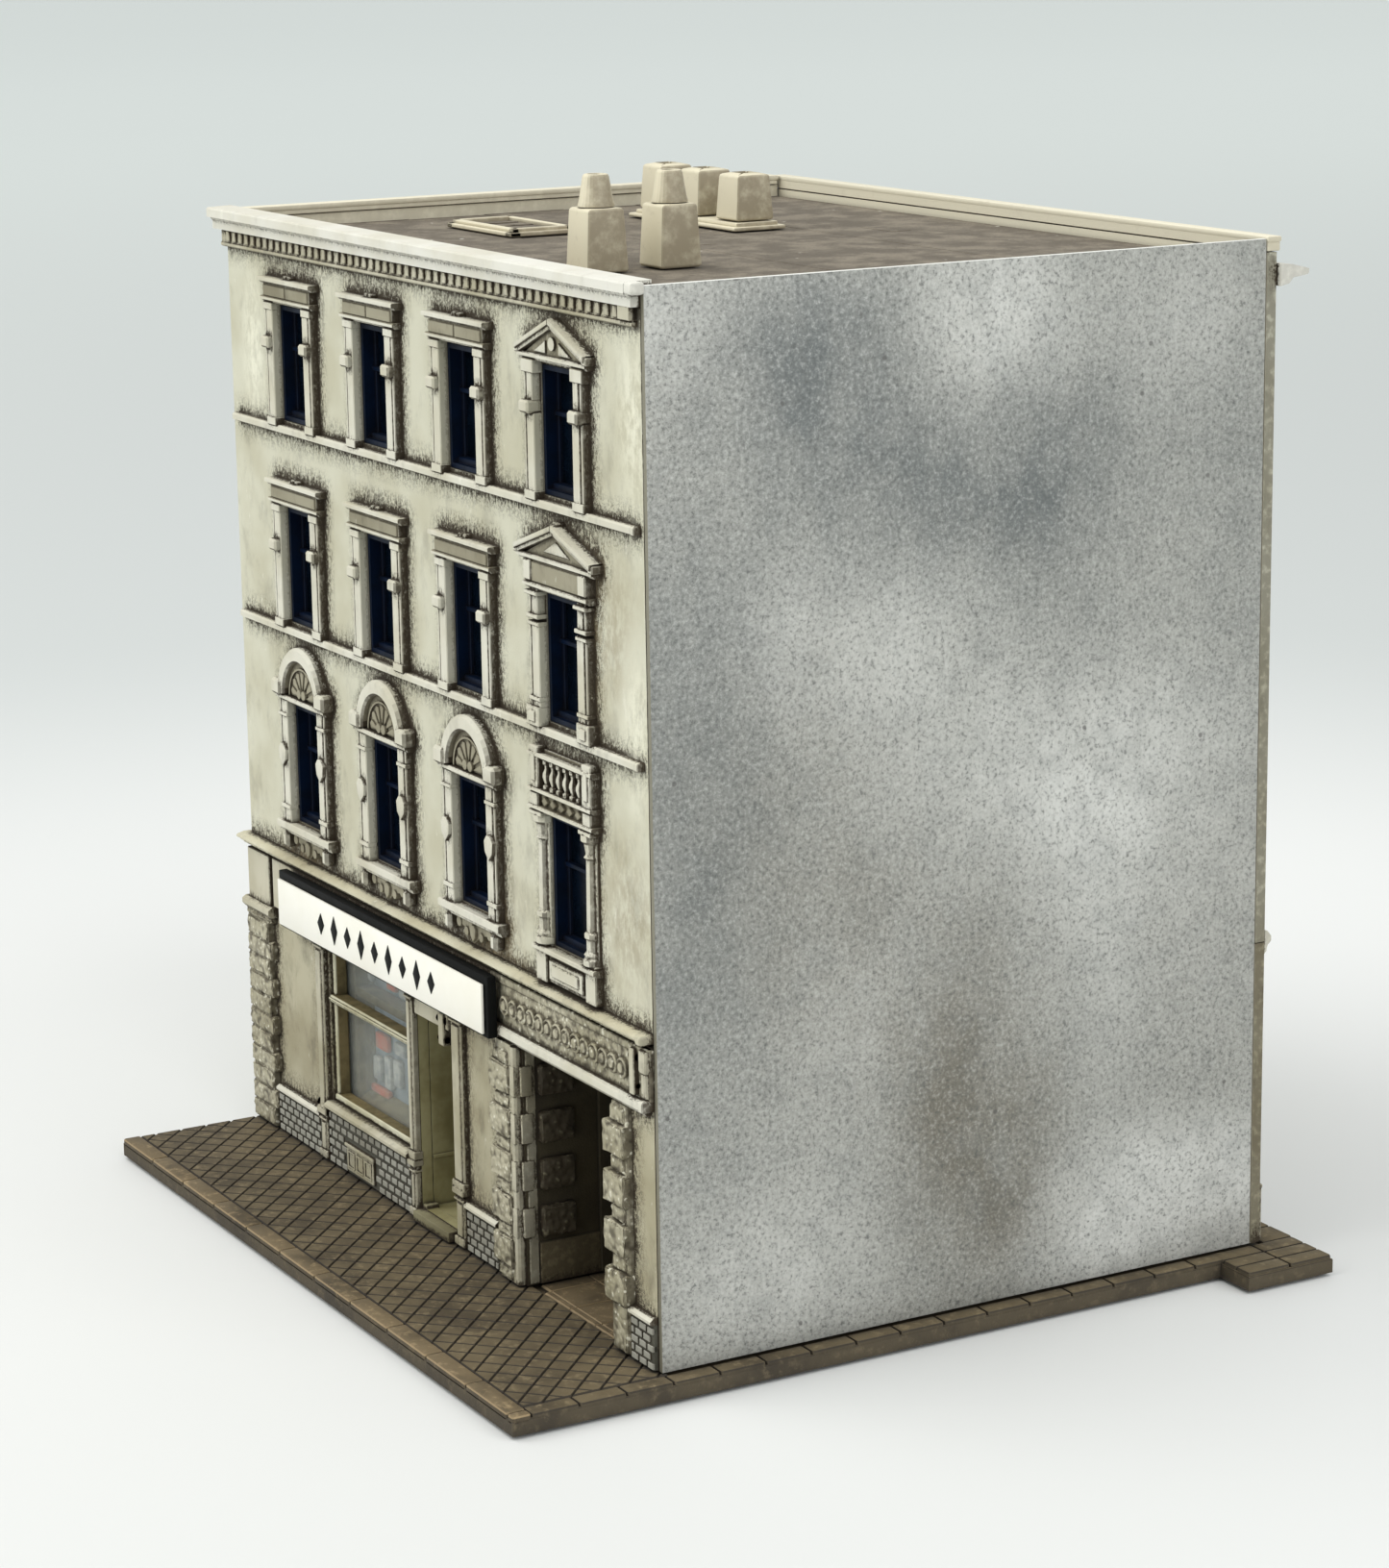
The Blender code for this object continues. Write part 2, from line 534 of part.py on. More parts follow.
def add_finishes(kit):
    """Keep the finishes that the pieces share."""
    kit.add_finish(PLASTER, (0.56, 0.54, 0.45), 0.75)
    kit.add_finish("ground_plaster", (0.42, 0.39, 0.31), 0.8)
    kit.add_finish("cornice_white", (0.78, 0.76, 0.68), 0.6)
    kit.add_finish("coping", (0.68, 0.64, 0.5), 0.65)
    kit.add_finish("silver_card", (0.36, 0.37, 0.39), 0.45)
    kit.add_finish("pavement", (0.17, 0.13, 0.09), 0.8)
    kit.add_finish("roof_felt", (0.19, 0.17, 0.14), 0.9)
    kit.add_finish("chimney_cream", (0.6, 0.56, 0.42), 0.7)
    kit.add_finish("window_navy", (0.01, 0.02, 0.05), 0.35)
    kit.add_finish("clear_film", (0.05, 0.07, 0.12), 0.1)
    kit.add_finish("frame_olive", (0.5, 0.47, 0.33), 0.6)
    kit.add_finish("shop_glass", (0.75, 0.8, 0.78), 0.05, 0.3)
    kit.add_finish("printed_card", (0.45, 0.5, 0.52), 0.6)
    kit.add_finish("door_olive", (0.38, 0.35, 0.17), 0.65)
    kit.add_finish("door_wood", (0.12, 0.07, 0.04), 0.6)
    kit.add_finish("passage_brown", (0.1, 0.08, 0.05), 0.85)
    kit.add_finish("sign_black", (0.01, 0.01, 0.012), 0.4)
    kit.add_finish("sign_white", (0.85, 0.85, 0.82), 0.45)


def main():
    """Build the kit."""
    clear_scene()
    kit = Kit()
    add_finishes(kit)
    add_base(kit)
    add_ground_front(kit)
    Facade(kit).build()
    add_cornices(kit)
    add_side_walls(kit)
    add_rear_walls(kit)
    add_roof(kit)
    add_window_inserts(kit)
    add_rear_windows(kit)
    add_shop(kit)
    add_gateway(kit)
    add_sign(kit)


main()
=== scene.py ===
"""Looks of the corner shop tenement: a plastic kit building for an N gauge layout.

Sizes are millimetres from the walls' front left corner at pavement level: X runs right along the
street front, Y back from the front wall's face and Z up. Bench turns them into the frame's metres.
"""
import json
import logging
import math
from dataclasses import dataclass, field
from enum import Enum
from typing import Callable, Iterable, Optional, Sequence

import bmesh
import bpy
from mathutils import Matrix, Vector

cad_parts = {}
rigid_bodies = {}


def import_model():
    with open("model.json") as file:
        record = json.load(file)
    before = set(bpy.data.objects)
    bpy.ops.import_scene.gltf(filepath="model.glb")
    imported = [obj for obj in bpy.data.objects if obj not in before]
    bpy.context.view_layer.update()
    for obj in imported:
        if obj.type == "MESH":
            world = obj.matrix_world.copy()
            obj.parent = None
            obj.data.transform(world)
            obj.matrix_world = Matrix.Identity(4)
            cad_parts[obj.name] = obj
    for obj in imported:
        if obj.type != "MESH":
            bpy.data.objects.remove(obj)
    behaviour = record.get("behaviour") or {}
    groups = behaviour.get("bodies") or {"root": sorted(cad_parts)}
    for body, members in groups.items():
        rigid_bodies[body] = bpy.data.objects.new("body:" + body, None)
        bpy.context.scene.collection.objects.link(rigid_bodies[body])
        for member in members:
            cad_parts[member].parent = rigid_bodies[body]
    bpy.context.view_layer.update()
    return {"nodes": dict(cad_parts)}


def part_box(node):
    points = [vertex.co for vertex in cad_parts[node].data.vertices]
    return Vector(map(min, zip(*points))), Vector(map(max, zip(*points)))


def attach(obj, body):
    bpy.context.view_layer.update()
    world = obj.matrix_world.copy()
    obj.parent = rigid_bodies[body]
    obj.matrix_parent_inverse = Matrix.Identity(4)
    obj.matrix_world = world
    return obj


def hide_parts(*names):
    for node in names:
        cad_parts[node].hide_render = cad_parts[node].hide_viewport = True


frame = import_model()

MM = 0.001
SUNK = 0.2  # how deep the relief is let into the walls
log = logging.getLogger("tenement")

Point = tuple[float, float, float]
Flat = tuple[float, float]
Hole = tuple[float, float, float, float]
Blot = tuple[float, float, float, float, float]
Colour = tuple[int, int, int]
Socket = bpy.types.NodeSocket
Value = "Socket | float | Colour"
Piece = bpy.types.Object
Test = Callable[[Vector, Vector], bool]


class Axis(Enum):
    """The axis along which an outline or a profile is drawn out."""

    X = 0
    Y = 1
    Z = 2


class Bench:
    """Shapes pieces with the edit-mode tools, in building millimetres."""

    def __init__(self) -> None:
        """Find the building's corner from the walls, the sheet and the base."""
        wall, sheet, base = (
            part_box(node) for node in ("left_party_wall", "right_cover_sheet", "base_plate"))
        self.corner = Vector((wall[0].x, sheet[0].y, base[1].z))
        self.current: Optional[Piece] = None

    def box(self, node: str) -> tuple[Vector, Vector]:
        """Give a CAD node's lowest and highest corner, in building millimetres."""
        low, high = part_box(node)
        return (low - self.corner) / MM, (high - self.corner) / MM

    def at(self, x: float, y: float, z: float) -> Vector:
        """Give the frame's place of a point of the building."""
        return self.corner + Vector((x, y, z)) * MM

    def begin(self, name: str) -> None:
        """Start an empty piece and stay in edit mode, with nothing selected."""
        bpy.ops.object.select_all(action="DESELECT")
        bpy.ops.object.add(type="MESH", location=(0, 0, 0))
        self.current = bpy.context.object
        self.current.name = name
        self.current.data.name = name
        bpy.ops.object.mode_set(mode="EDIT")

    def free(self) -> None:
        """Deselect everything in the open piece."""
        bpy.ops.mesh.select_all(action="DESELECT")

    def block(self, low: Sequence[float], high: Sequence[float], soft: float = 0.0,
              steps: int = 1) -> None:
        """Add a block between two corners, with its edges bevelled.

        Args:
            low: The corner with the lowest coordinates.
            high: The opposite corner.
            soft: The bevel's width.
            steps: The bevel's segments.
        """
        low, high = Vector(low), Vector(high)
        self.free()
        bpy.ops.mesh.primitive_cube_add(
            size=1.0, location=self.at(*((low + high) / 2)), scale=(high - low) * MM)
        if soft:
            bpy.ops.mesh.bevel(offset=soft * MM, segments=steps, affect="EDGES")

    def relief(self, left: float, right: float, foot: float, top: float, stand: float,
               soft: float = 0.0, steps: int = 1) -> None:
        """Add a block let into the street front, standing proud of its face by so much."""
        self.block((left, -stand, foot), (right, SUNK, top), soft, steps)

    def chain(self, points: Sequence[Sequence[float]]) -> None:
        """Draw a chain of edges through points by extruding a single vertex."""
        self.free()
        bpy.ops.mesh.select_mode(type="VERT")
        bpy.ops.mesh.primitive_plane_add(size=MM, location=self.at(*points[0]))
        bpy.ops.mesh.merge(type="CENTER")
        for start, end in zip(points, points[1:]):
            step = (Vector(end) - Vector(start)) * MM
            bpy.ops.mesh.extrude_region_move(TRANSFORM_OT_translate={"value": step})
        bpy.ops.mesh.select_linked()

    def outline(self, points: Sequence[Flat], start: float, end: float, axis: Axis = Axis.Y,
                soft: float = 0.0) -> None:
        """Add a solid with the given outline, drawn out along an axis.

        Args:
            points: The outline in the plane across the axis, in the order x, y, z.
            start: Where the solid starts on the axis.
            end: Where it ends.
            axis: The axis.
            soft: The width of the bevel round the end face.
        """
        def spread(flat: Flat, depth: float) -> Point:
            """Give a point of the outline its place on the axis."""
            values = list(flat)
            values.insert(axis.value, depth)
            return tuple(values)
        self.chain([spread(flat, start) for flat in points])
        bpy.ops.mesh.edge_face_add()
        step = Vector(spread((0, 0), end - start)) * MM
        bpy.ops.mesh.extrude_region_move(TRANSFORM_OT_translate={"value": step})
        if soft:
            bpy.ops.mesh.region_to_loop()
            bpy.ops.mesh.bevel(offset=soft * MM, segments=2, affect="EDGES")
        bpy.ops.mesh.select_linked()
        bpy.ops.mesh.normals_make_consistent(inside=False)

    def turn(self, profile: Sequence[Point], centre: Sequence[float], axis: Axis, angle: float,
             steps: int, closed: bool = False) -> None:
        """Spin a profile about an axis through a point and close what stays open.

        Args:
            profile: The chain of points to spin.
            centre: A point on the axis.
            axis: The axis to spin about.
            angle: The angle to spin through, in radians.
            steps: The number of steps.
            closed: Whether the profile is a closed loop.
        """
        self.chain(profile)
        if closed:
            bpy.ops.mesh.edge_face_add()
            bpy.ops.mesh.delete(type="ONLY_FACE")
            mesh = bmesh.from_edit_mesh(self.current.data)
            for edge in mesh.edges:
                if edge.is_wire:
                    edge.select_set(True)
            bmesh.update_edit_mesh(self.current.data)
        direction = [0.0, 0.0, 0.0]
        direction[axis.value] = 1.0
        bpy.ops.mesh.spin(
            steps=steps, dupli=False, angle=angle, center=self.at(*centre), axis=direction)
        bpy.ops.mesh.select_linked()
        bpy.ops.mesh.remove_doubles(threshold=0.002 * MM)
        bpy.ops.mesh.fill_holes(sides=0)
        bpy.ops.mesh.normals_make_consistent(inside=False)

    def pick(self, test: Test) -> None:
        """Select the faces whose centre, in building millimetres, and normal pass a test."""
        bpy.ops.mesh.select_mode(type="FACE")
        bpy.ops.mesh.select_all(action="DESELECT")
        mesh = bmesh.from_edit_mesh(self.current.data)
        for face in mesh.faces:
            if test((face.calc_center_median() - self.corner) / MM, face.normal):
                face.select_set(True)
        bmesh.update_edit_mesh(self.current.data)

    def wall(self, low: Sequence[float], high: Sequence[float], holes: Sequence[Hole]) -> None:
        """Add a wall across Y between two corners, with rectangular openings cut through it.

        Args:
            low: The wall's lowest corner.
            high: Its highest corner.
            holes: Left, right, foot and top of each opening.
        """
        middle = ((low[0] + high[0]) / 2, low[1], (low[2] + high[2]) / 2)
        bpy.ops.mesh.primitive_plane_add(
            size=MM, location=self.at(*middle), rotation=(math.pi / 2, 0, 0))
        bpy.ops.transform.resize(value=(high[0] - low[0], 1.0, high[2] - low[2]))
        for x in sorted({edge for hole in holes for edge in hole[:2]}):
            self.cut((x, 0, 0), (1, 0, 0))
        for z in sorted({edge for hole in holes for edge in hole[2:]}):
            self.cut((0, 0, z), (0, 0, 1))
        self.pick(
            lambda at, normal: any(left < at.x < right and foot < at.z < top for left, right, foot,
            top in holes))
        bpy.ops.mesh.delete(type="FACE")
        bpy.ops.mesh.select_all(action="SELECT")
        self.extrude(0, high[1] - low[1], 0)
        bpy.ops.mesh.select_all(action="SELECT")
        bpy.ops.mesh.normals_make_consistent(inside=False)

    def cut(self, place: Sequence[float], normal: Sequence[float], outer: bool = False) -> None:
        """Bisect the whole piece with a plane, and drop the outer side if asked to."""
        bpy.ops.mesh.select_all(action="SELECT")
        bpy.ops.mesh.bisect(
            plane_co=self.at(*place), plane_no=normal, clear_outer=outer, use_fill=False)

    def inset(self, width: float, rise: float = 0.0, each: bool = False) -> None:
        """Inset the selected faces and push them out along their normals."""
        bpy.ops.mesh.inset(
            thickness=width * MM, depth=rise * MM, use_individual=each, use_even_offset=True)

    def extrude(self, x: float, y: float, z: float) -> None:
        """Extrude the selected faces by a step in millimetres."""
        bpy.ops.mesh.extrude_region_move(TRANSFORM_OT_translate={"value": (x * MM, y * MM, z * MM)})

    def paint(self, slot: int, test: Optional[Test] = None) -> None:
        """Give the selected faces, or those that pass a test, one of the piece's finishes."""
        if test:
            self.pick(test)
        mesh = bmesh.from_edit_mesh(self.current.data)
        for face in mesh.faces:
            if face.select:
                face.material_index = slot
        bmesh.update_edit_mesh(self.current.data)

    def end(self, finishes: Sequence["Finish"], slot: str, replaces: Iterable[str] = (),
            smooth: float = 30.0) -> Piece:
        """Leave edit mode, dress the piece and hang it on the frame.

        Args:
            finishes: The piece's finishes, in slot order.
            slot: The record's material slot; not used.
            replaces: The CAD nodes that the piece stands for.
            smooth: Edges flatter than this many degrees are shaded smooth.

        Returns:
            The finished piece.
        """
        piece = self.current
        bpy.ops.object.mode_set(mode="OBJECT")
        bpy.ops.object.shade_smooth_by_angle(angle=math.radians(smooth))
        for finish in finishes:
            piece.data.materials.append(finish.material())
        self.hang(piece, replaces)
        return piece

    def hang(self, piece: Piece, replaces: Iterable[str] = ()) -> None:
        """Ride a piece on the building and hide the CAD nodes that it stands for."""
        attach(piece, "root")
        if replaces:
            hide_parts(*replaces)
        log.info("%s: %d faces", piece.name, len(piece.data.polygons))

    def copy(self, piece: Piece, name: str, shift: Point, slot: str,
             replaces: Iterable[str] = ()) -> None:
        """Copy a piece with its own mesh to another place of the building."""
        twin = piece.copy()
        twin.data = piece.data.copy()
        twin.name = name
        twin.data.name = name
        bpy.context.collection.objects.link(twin)
        bpy.ops.object.select_all(action="DESELECT")
        twin.select_set(True)
        bpy.context.view_layer.objects.active = twin
        bpy.ops.transform.translate(value=Vector(shift) * MM)
        bpy.ops.object.transform_apply(location=True, rotation=True, scale=True)
        self.hang(twin, replaces)


bench = Bench()


def tone(red: int, green: int, blue: int) -> Point:
    """Turn a paint chart's 0 to 255 colour into linear light."""
    return tuple(((value / 255 + 0.055) / 1.055) ** 2.4 if value > 10 else value / 3295
                 for value in (red, green, blue))


class Graph:
    """A finish's node tree, with short calls for the nodes that finishes share."""

    def __init__(self, name: str) -> None:
        """Start a material of this name."""
        self.finish = bpy.data.materials.new(name)
        self.finish.use_nodes = True
        self.tree = self.finish.node_tree
        self.shader = self.tree.nodes["Principled BSDF"]
        self.place = self.node("TexCoord").outputs["Object"]
        self.colour: Value = (128, 128, 128)

    def node(self, kind: str) -> bpy.types.ShaderNode:
        """Add a shader node of a kind."""
        return self.tree.nodes.new("ShaderNode" + kind)

    def feed(self, socket: Socket, value: Value) -> None:
        """Link a socket to another, or set it to a number or a colour."""
        if isinstance(value, bpy.types.NodeSocket):
            self.tree.links.new(value, socket)
        elif isinstance(value, tuple) and len(value) == 3 and socket.type == "RGBA":
            socket.default_value = (*tone(*value), 1.0)
        else:
            socket.default_value = value

    def noise(self, size: float, detail: float = 3.0, rough: float = 0.55,
              stretch: Point = (1.0, 1.0, 1.0), shift: float = 0.0) -> Socket:
        """Add noise whose blots are about so many millimetres across."""
        spread = self.node("Mapping")
        self.feed(spread.inputs["Vector"], self.place)
        spread.inputs["Scale"].default_value = stretch
        spread.inputs["Location"].default_value = (shift, shift * 0.7, shift * 0.3)
        noise = self.node("TexNoise")
        self.feed(noise.inputs["Vector"], spread.outputs["Vector"])
        noise.inputs["Scale"].default_value = 1.0 / (size * MM)
        noise.inputs["Detail"].default_value = detail
        noise.inputs["Roughness"].default_value = rough
        return noise.outputs["Fac"]

    def cells(self, size: float, feature: str = "F1") -> Socket:
        """Add a field of cells that are about so many millimetres across."""
        cells = self.node("TexVoronoi")
        cells.feature = feature
        self.feed(cells.inputs["Vector"], self.place)
        cells.inputs["Scale"].default_value = 1.0 / (size * MM)
        return cells.outputs["Distance"]

    def maths(self, kind: str, first: Value, second: Value = 0.0) -> Socket:
        """Add a calculation."""
        node = self.node("Math")
        node.operation = kind
        self.feed(node.inputs[0], first)
        self.feed(node.inputs[1], second)
        return node.outputs[0]

    def span(self, value: Socket, start: float, end: float, low: float = 0.0,
             high: float = 1.0) -> Socket:
        """Ease a value from low to high as it goes from start to end."""
        node = self.node("MapRange")
        node.interpolation_type = "SMOOTHSTEP"
        self.feed(node.inputs["Value"], value)
        for name, number in (
                ("From Min", start), ("From Max", end), ("To Min", low), ("To Max", high)):
            node.inputs[name].default_value = number
        return node.outputs["Result"]

    def blend(self, factor: Value, first: Value, second: Value) -> Socket:
        """Mix two colours."""
        node = self.node("Mix")
        node.data_type = "RGBA"
        self.feed(node.inputs["Factor"], factor)
        self.feed(node.inputs[6], first)
        self.feed(node.inputs[7], second)
        return node.outputs[2]

    def coat(self, cover: Value, paint: Value) -> None:
        """Lay a paint over the colour so far, where its cover lets it."""
        self.colour = self.blend(cover, self.colour, paint)

    def crevice(self, reach: float) -> Socket:
        """Give 0 on open surfaces and up to 1 in corners within so many millimetres."""
        node = self.node("AmbientOcclusion")
        node.samples = 8
        node.inputs["Distance"].default_value = reach * MM
        return self.maths("SUBTRACT", 1.0, node.outputs["AO"])

    def facing(self, axis: Axis) -> Socket:
        """Give one coordinate of the surface's true normal."""
        split = self.node("SeparateXYZ")
        self.feed(split.inputs[0], self.node("NewGeometry").outputs["True Normal"])
        return split.outputs[axis.value]

    def spot(self, centre: Vector, spread: Vector) -> Socket:
        """Give 1 at a place, fading to 0 over an egg-shaped reach about it."""
        shift = self.node("VectorMath")
        shift.operation = "SUBTRACT"
        self.feed(shift.inputs[0], self.place)
        shift.inputs[1].default_value = centre
        scale = self.node("VectorMath")
        scale.operation = "DIVIDE"
        self.feed(scale.inputs[0], shift.outputs["Vector"])
        scale.inputs[1].default_value = spread
        size = self.node("VectorMath")
        size.operation = "LENGTH"
        self.feed(size.inputs[0], scale.outputs["Vector"])
        return self.span(size.outputs["Value"], 1.0, 0.0)

    def bump(self, height: Socket, depth: float) -> None:
        """Let a height, in shares of so many millimetres, tilt the surface."""
        node = self.node("Bump")
        node.inputs["Distance"].default_value = depth * MM
        self.feed(node.inputs["Height"], height)
        self.feed(self.shader.inputs["Normal"], node.outputs["Normal"])

    def finish_with(self, roughness: Value) -> bpy.types.Material:
        """Set the colour and the roughness, and give the material."""
        self.feed(self.shader.inputs["Base Color"], self.colour)
        self.feed(self.shader.inputs["Roughness"], roughness)
        return self.finish


MIXED: dict[str, bpy.types.Material] = {}


@dataclass(frozen=True)
class Finish:
    """A finish of the building. Its material is made once and shared."""

    name: str

    def material(self) -> bpy.types.Material:
        """Give the finish's material, making it the first time."""
        if self.name not in MIXED:
            MIXED[self.name] = self.mix(Graph("finish_" + self.name))
        return MIXED[self.name]

    def mix(self, graph: Graph) -> bpy.types.Material:
        """Mix the finish; each kind of finish says how."""
        raise NotImplementedError


@dataclass(frozen=True)
class WashedPlastic(Finish):
    """Moulded plastic, painted pale and gone over with a thin dark wash that stays in corners; painted
    shade in the wash's colour darkens its side and under faces.
    """

    body: Colour = (208, 206, 186)
    shade: Colour = (192, 188, 164)
    wash_and_shade: Colour = (54, 44, 29)
    halo: float = 2.4
    halo_strength: float = 1.0
    side_and_under_shade: float = 0.7
    film: float = 0.25
    grain: float = 0.03
    roughness: float = 0.62
    streaks: bool = True

    def mix(self, graph: Graph) -> bpy.types.Material:
        """Mix the paint, the wash in corners, the painted shade on side and under faces, the wash's
        streaks and the grain.
        """
        clouds = graph.span(graph.noise(9.0, 3.0), 0.35, 0.7)
        graph.colour = graph.blend(clouds, self.body, self.shade)
        dust = graph.span(graph.noise(3.0, 4.0, 0.7, (1.0, 1.0, 0.5), 0.02), 0.5, 0.75, 0.0, self.film)
        graph.coat(dust, self.wash_and_shade)
        flakes = graph.span(graph.noise(2.2, 5.0, 0.75, (1.0, 1.0, 0.4), 0.11), 0.63, 0.7, 0.0, 0.5)
        graph.coat(flakes, (232, 230, 216))
        corner = graph.crevice(self.halo)
        hair = graph.noise(0.2, 3.0, 0.8, (1.0, 1.0, 0.3 if self.streaks else 1.0))
        fuzz = graph.noise(0.3, 4.0, 0.8, (1.0, 1.0, 1.0), 0.07)
        sway = graph.maths(
            "MULTIPLY", graph.maths("SUBTRACT", graph.maths("ADD", hair, fuzz), 1.0), 1.25)
        ragged = graph.span(graph.maths("ADD", corner, sway), 0.11, 0.2, 0.0, self.halo_strength)
        ragged = graph.maths("MULTIPLY", ragged, graph.span(corner, 0.03, 0.12))
        # Dark lines in the narrowest recesses: partly the wash lying there, partly painted shade.
        deep = graph.span(graph.crevice(0.35), 0.25, 0.55, 0.0, 0.9)
        # Painted shade: faces that look sideways along the front or downwards are darkened, in patches.
        side = graph.maths("ABSOLUTE", graph.facing(Axis.X))
        underside_shade = graph.span(graph.facing(Axis.Z), -0.3, -0.8)
        side = graph.maths("MAXIMUM", graph.span(side, 0.45, 0.85), underside_shade)
        patches = graph.span(graph.noise(0.8, 3.0), 0.25, 0.55, 0.6, 1.0)
        side = graph.maths("MULTIPLY", graph.maths("MULTIPLY", side, patches), self.side_and_under_shade)
        # The wash in corners and the painted shade on side and under faces are laid in one colour.
        dark = graph.maths("MAXIMUM", graph.maths("MAXIMUM", ragged, deep), side)
        graph.coat(dark, self.wash_and_shade)
        graph.bump(graph.noise(0.22, 3.0, 0.6), self.grain)
        return graph.finish_with(graph.span(dark, 0.0, 1.0, self.roughness, self.roughness + 0.2))


@dataclass(frozen=True)
class FrontPlaster(WashedPlastic):
    """The upper front's plaster: brown dust and pale scuffs lie towards its right edge."""

    corner: Point = (0.0, 0.0, 0.0)
    dusty: tuple[Flat, ...] = ((84.0, 68.0), (87.0, 42.0), (60.0, 34.0), (14.0, 34.0))
    scuffed: tuple[Flat, ...] = ((89.5, 88.0), (89.0, 60.0), (6.0, 86.0))

    def mix(self, graph: Graph) -> bpy.types.Material:
        """Mix the washed paint, then dust and scuff it in places."""
        finish = super().mix(graph)
        speckle = graph.span(graph.noise(0.9, 5.0, 0.75, (1.0, 1.0, 0.5), 0.21), 0.35, 0.62)
        for places, reach, paint, depth in (
                (self.dusty, (9.0, 9.0, 12.0), (140, 124, 92), 0.5),
                (self.scuffed, (4.5, 9.0, 13.0), (240, 238, 218), 0.75)):
            for x, z in places:
                spot = graph.spot(Vector(self.corner) + Vector((x, 0.0, z)) * MM, Vector(reach) * MM)
                amount = graph.maths("MULTIPLY", graph.maths("MULTIPLY", spot, speckle), depth)
                graph.coat(amount, paint)
        graph.feed(graph.shader.inputs["Base Color"], graph.colour)
        return finish


@dataclass(frozen=True)
class Stone(WashedPlastic):
    """Moulded rock-faced stone, lumpy and washed darker than the plaster."""

    body: Colour = (186, 180, 150)
    shade: Colour = (150, 142, 112)
    halo: float = 0.8
    film: float = 0.55
    lump: float = 0.62
    peak: Colour = (226, 222, 202)
    relief: float = 0.26

    def mix(self, graph: Graph) -> bpy.types.Material:
        """Mix the washed paint, then pick out lumps and darken the hollows between them."""
        finish = super().mix(graph)
        height = graph.cells(self.lump, "SMOOTH_F1")
        hollow = graph.span(height, 0.42, 0.75, 0.0, 0.75)
        graph.coat(hollow, self.wash_and_shade)
        peaks = graph.maths(
            "MULTIPLY", graph.span(height, 0.3, 0.14), graph.span(graph.noise(1.3), 0.4, 0.6))
        graph.coat(peaks, self.peak)
        graph.feed(graph.shader.inputs["Base Color"], graph.colour)
        graph.bump(graph.maths("SUBTRACT", 1.0, height), self.relief)
        return finish


@dataclass(frozen=True)
class SilverPaint(Finish):
    """Silver spray paint on the cover sheet, dusted with dark clouds and orange-peeled.

    A cloud is given by its place and its reach in building Y and Z, and by its depth.
    """

    metal: Colour = (160, 160, 154)
    light: Colour = (202, 202, 197)
    soot: Colour = (104, 108, 107)
    rust: Colour = (116, 112, 101)
    edge: Colour = (246, 246, 240)
    shaded_edge: Colour = (132, 128, 112)
    corner: tuple[float, float, float] = (0.0, 0.0, 0.0)
    dark: tuple[Blot, ...] = (
        (17, 91, 17, 16, 1.0), (31, 79, 30, 13, 0.85), (46, 83, 20, 15, 0.5),
        (64, 76, 10, 26, 0.3), (4, 52, 15, 50, 0.7), (45, 68, 16, 11, 0.35))
    brown: tuple[Blot, ...] = (
        (24, 36, 26, 20, 0.4), (35, 13, 15, 20, 1.0), (33, 25, 17, 18, 0.5),
        (14, 52, 20, 22, 0.25), (60, 30, 12, 26, 0.2))
    pale: tuple[Blot, ...] = (
        (37, 95, 13, 13, 0.9), (2, 97, 9, 10, 0.5), (58, 92, 16, 12, 0.3),
        (21, 66, 24, 14, 0.5), (44, 52, 30, 18, 0.7), (56, 6, 26, 13, 1.6),
        (12, 8, 20, 14, 0.6), (54, 40, 22, 24, 0.5), (24, 30, 20, 14, 0.4))

    def clouds(self, graph: Graph, blots: tuple[Blot, ...], shift: float) -> Socket:
        """Lay a set of clouds over each other, with ragged sprayed edges."""
        total: Value = 0.0
        for y, z, wide, tall, depth in blots:
            place = Vector(self.corner) + Vector((91.7, y, z)) * MM
            spot = graph.spot(place, Vector((30.0, wide, tall)) * MM)
            total = graph.maths("ADD", total, graph.maths("MULTIPLY", spot, depth))
        ragged = graph.span(graph.noise(8.0, 5.0, 0.65, (1.0, 1.0, 0.7), shift), 0.3, 0.7, 0.55, 1.2)
        return graph.maths("MULTIPLY", total, ragged)

    def mix(self, graph: Graph) -> bpy.types.Material:
        """Mix the metal, its clouds, its grain and specks, and the bare card's edges: white where they
        look up, in painted shade where they don't.
        """
        graph.colour = graph.blend(self.clouds(graph, self.pale, 0.0), self.metal, self.light)
        graph.coat(self.clouds(graph, self.dark, 0.03), self.soot)
        graph.coat(self.clouds(graph, self.brown, 0.06), self.rust)
        patches = graph.span(graph.noise(3.0, 5.0, 0.7), 0.4, 0.7, 0.0, 0.25)
        graph.coat(patches, self.soot)
        grain = graph.noise(0.42, 4.0, 0.8)
        graph.coat(graph.span(grain, 0.5, 0.68, 0.0, 0.75), (84, 86, 84))
        graph.coat(graph.span(grain, 0.5, 0.34, 0.0, 0.26), (220, 221, 216))
        specks = graph.span(graph.cells(5.6), 0.055, 0.03, 0.0, 0.7)
        graph.coat(specks, (84, 82, 80))
        # The bare card's edges: up-facing ones white, the others painted in shade.
        across = graph.maths("ABSOLUTE", graph.facing(Axis.X))
        rim = graph.blend(graph.span(graph.facing(Axis.Z), 0.3, 0.7), self.shaded_edge, self.edge)
        graph.coat(graph.span(across, 0.7, 0.5), rim)
        graph.feed(graph.shader.inputs["Metallic"], 0.18)
        graph.bump(graph.noise(0.5, 3.0, 0.6), 0.1)
        return graph.finish_with(graph.span(grain, 0.3, 0.7, 0.42, 0.6))


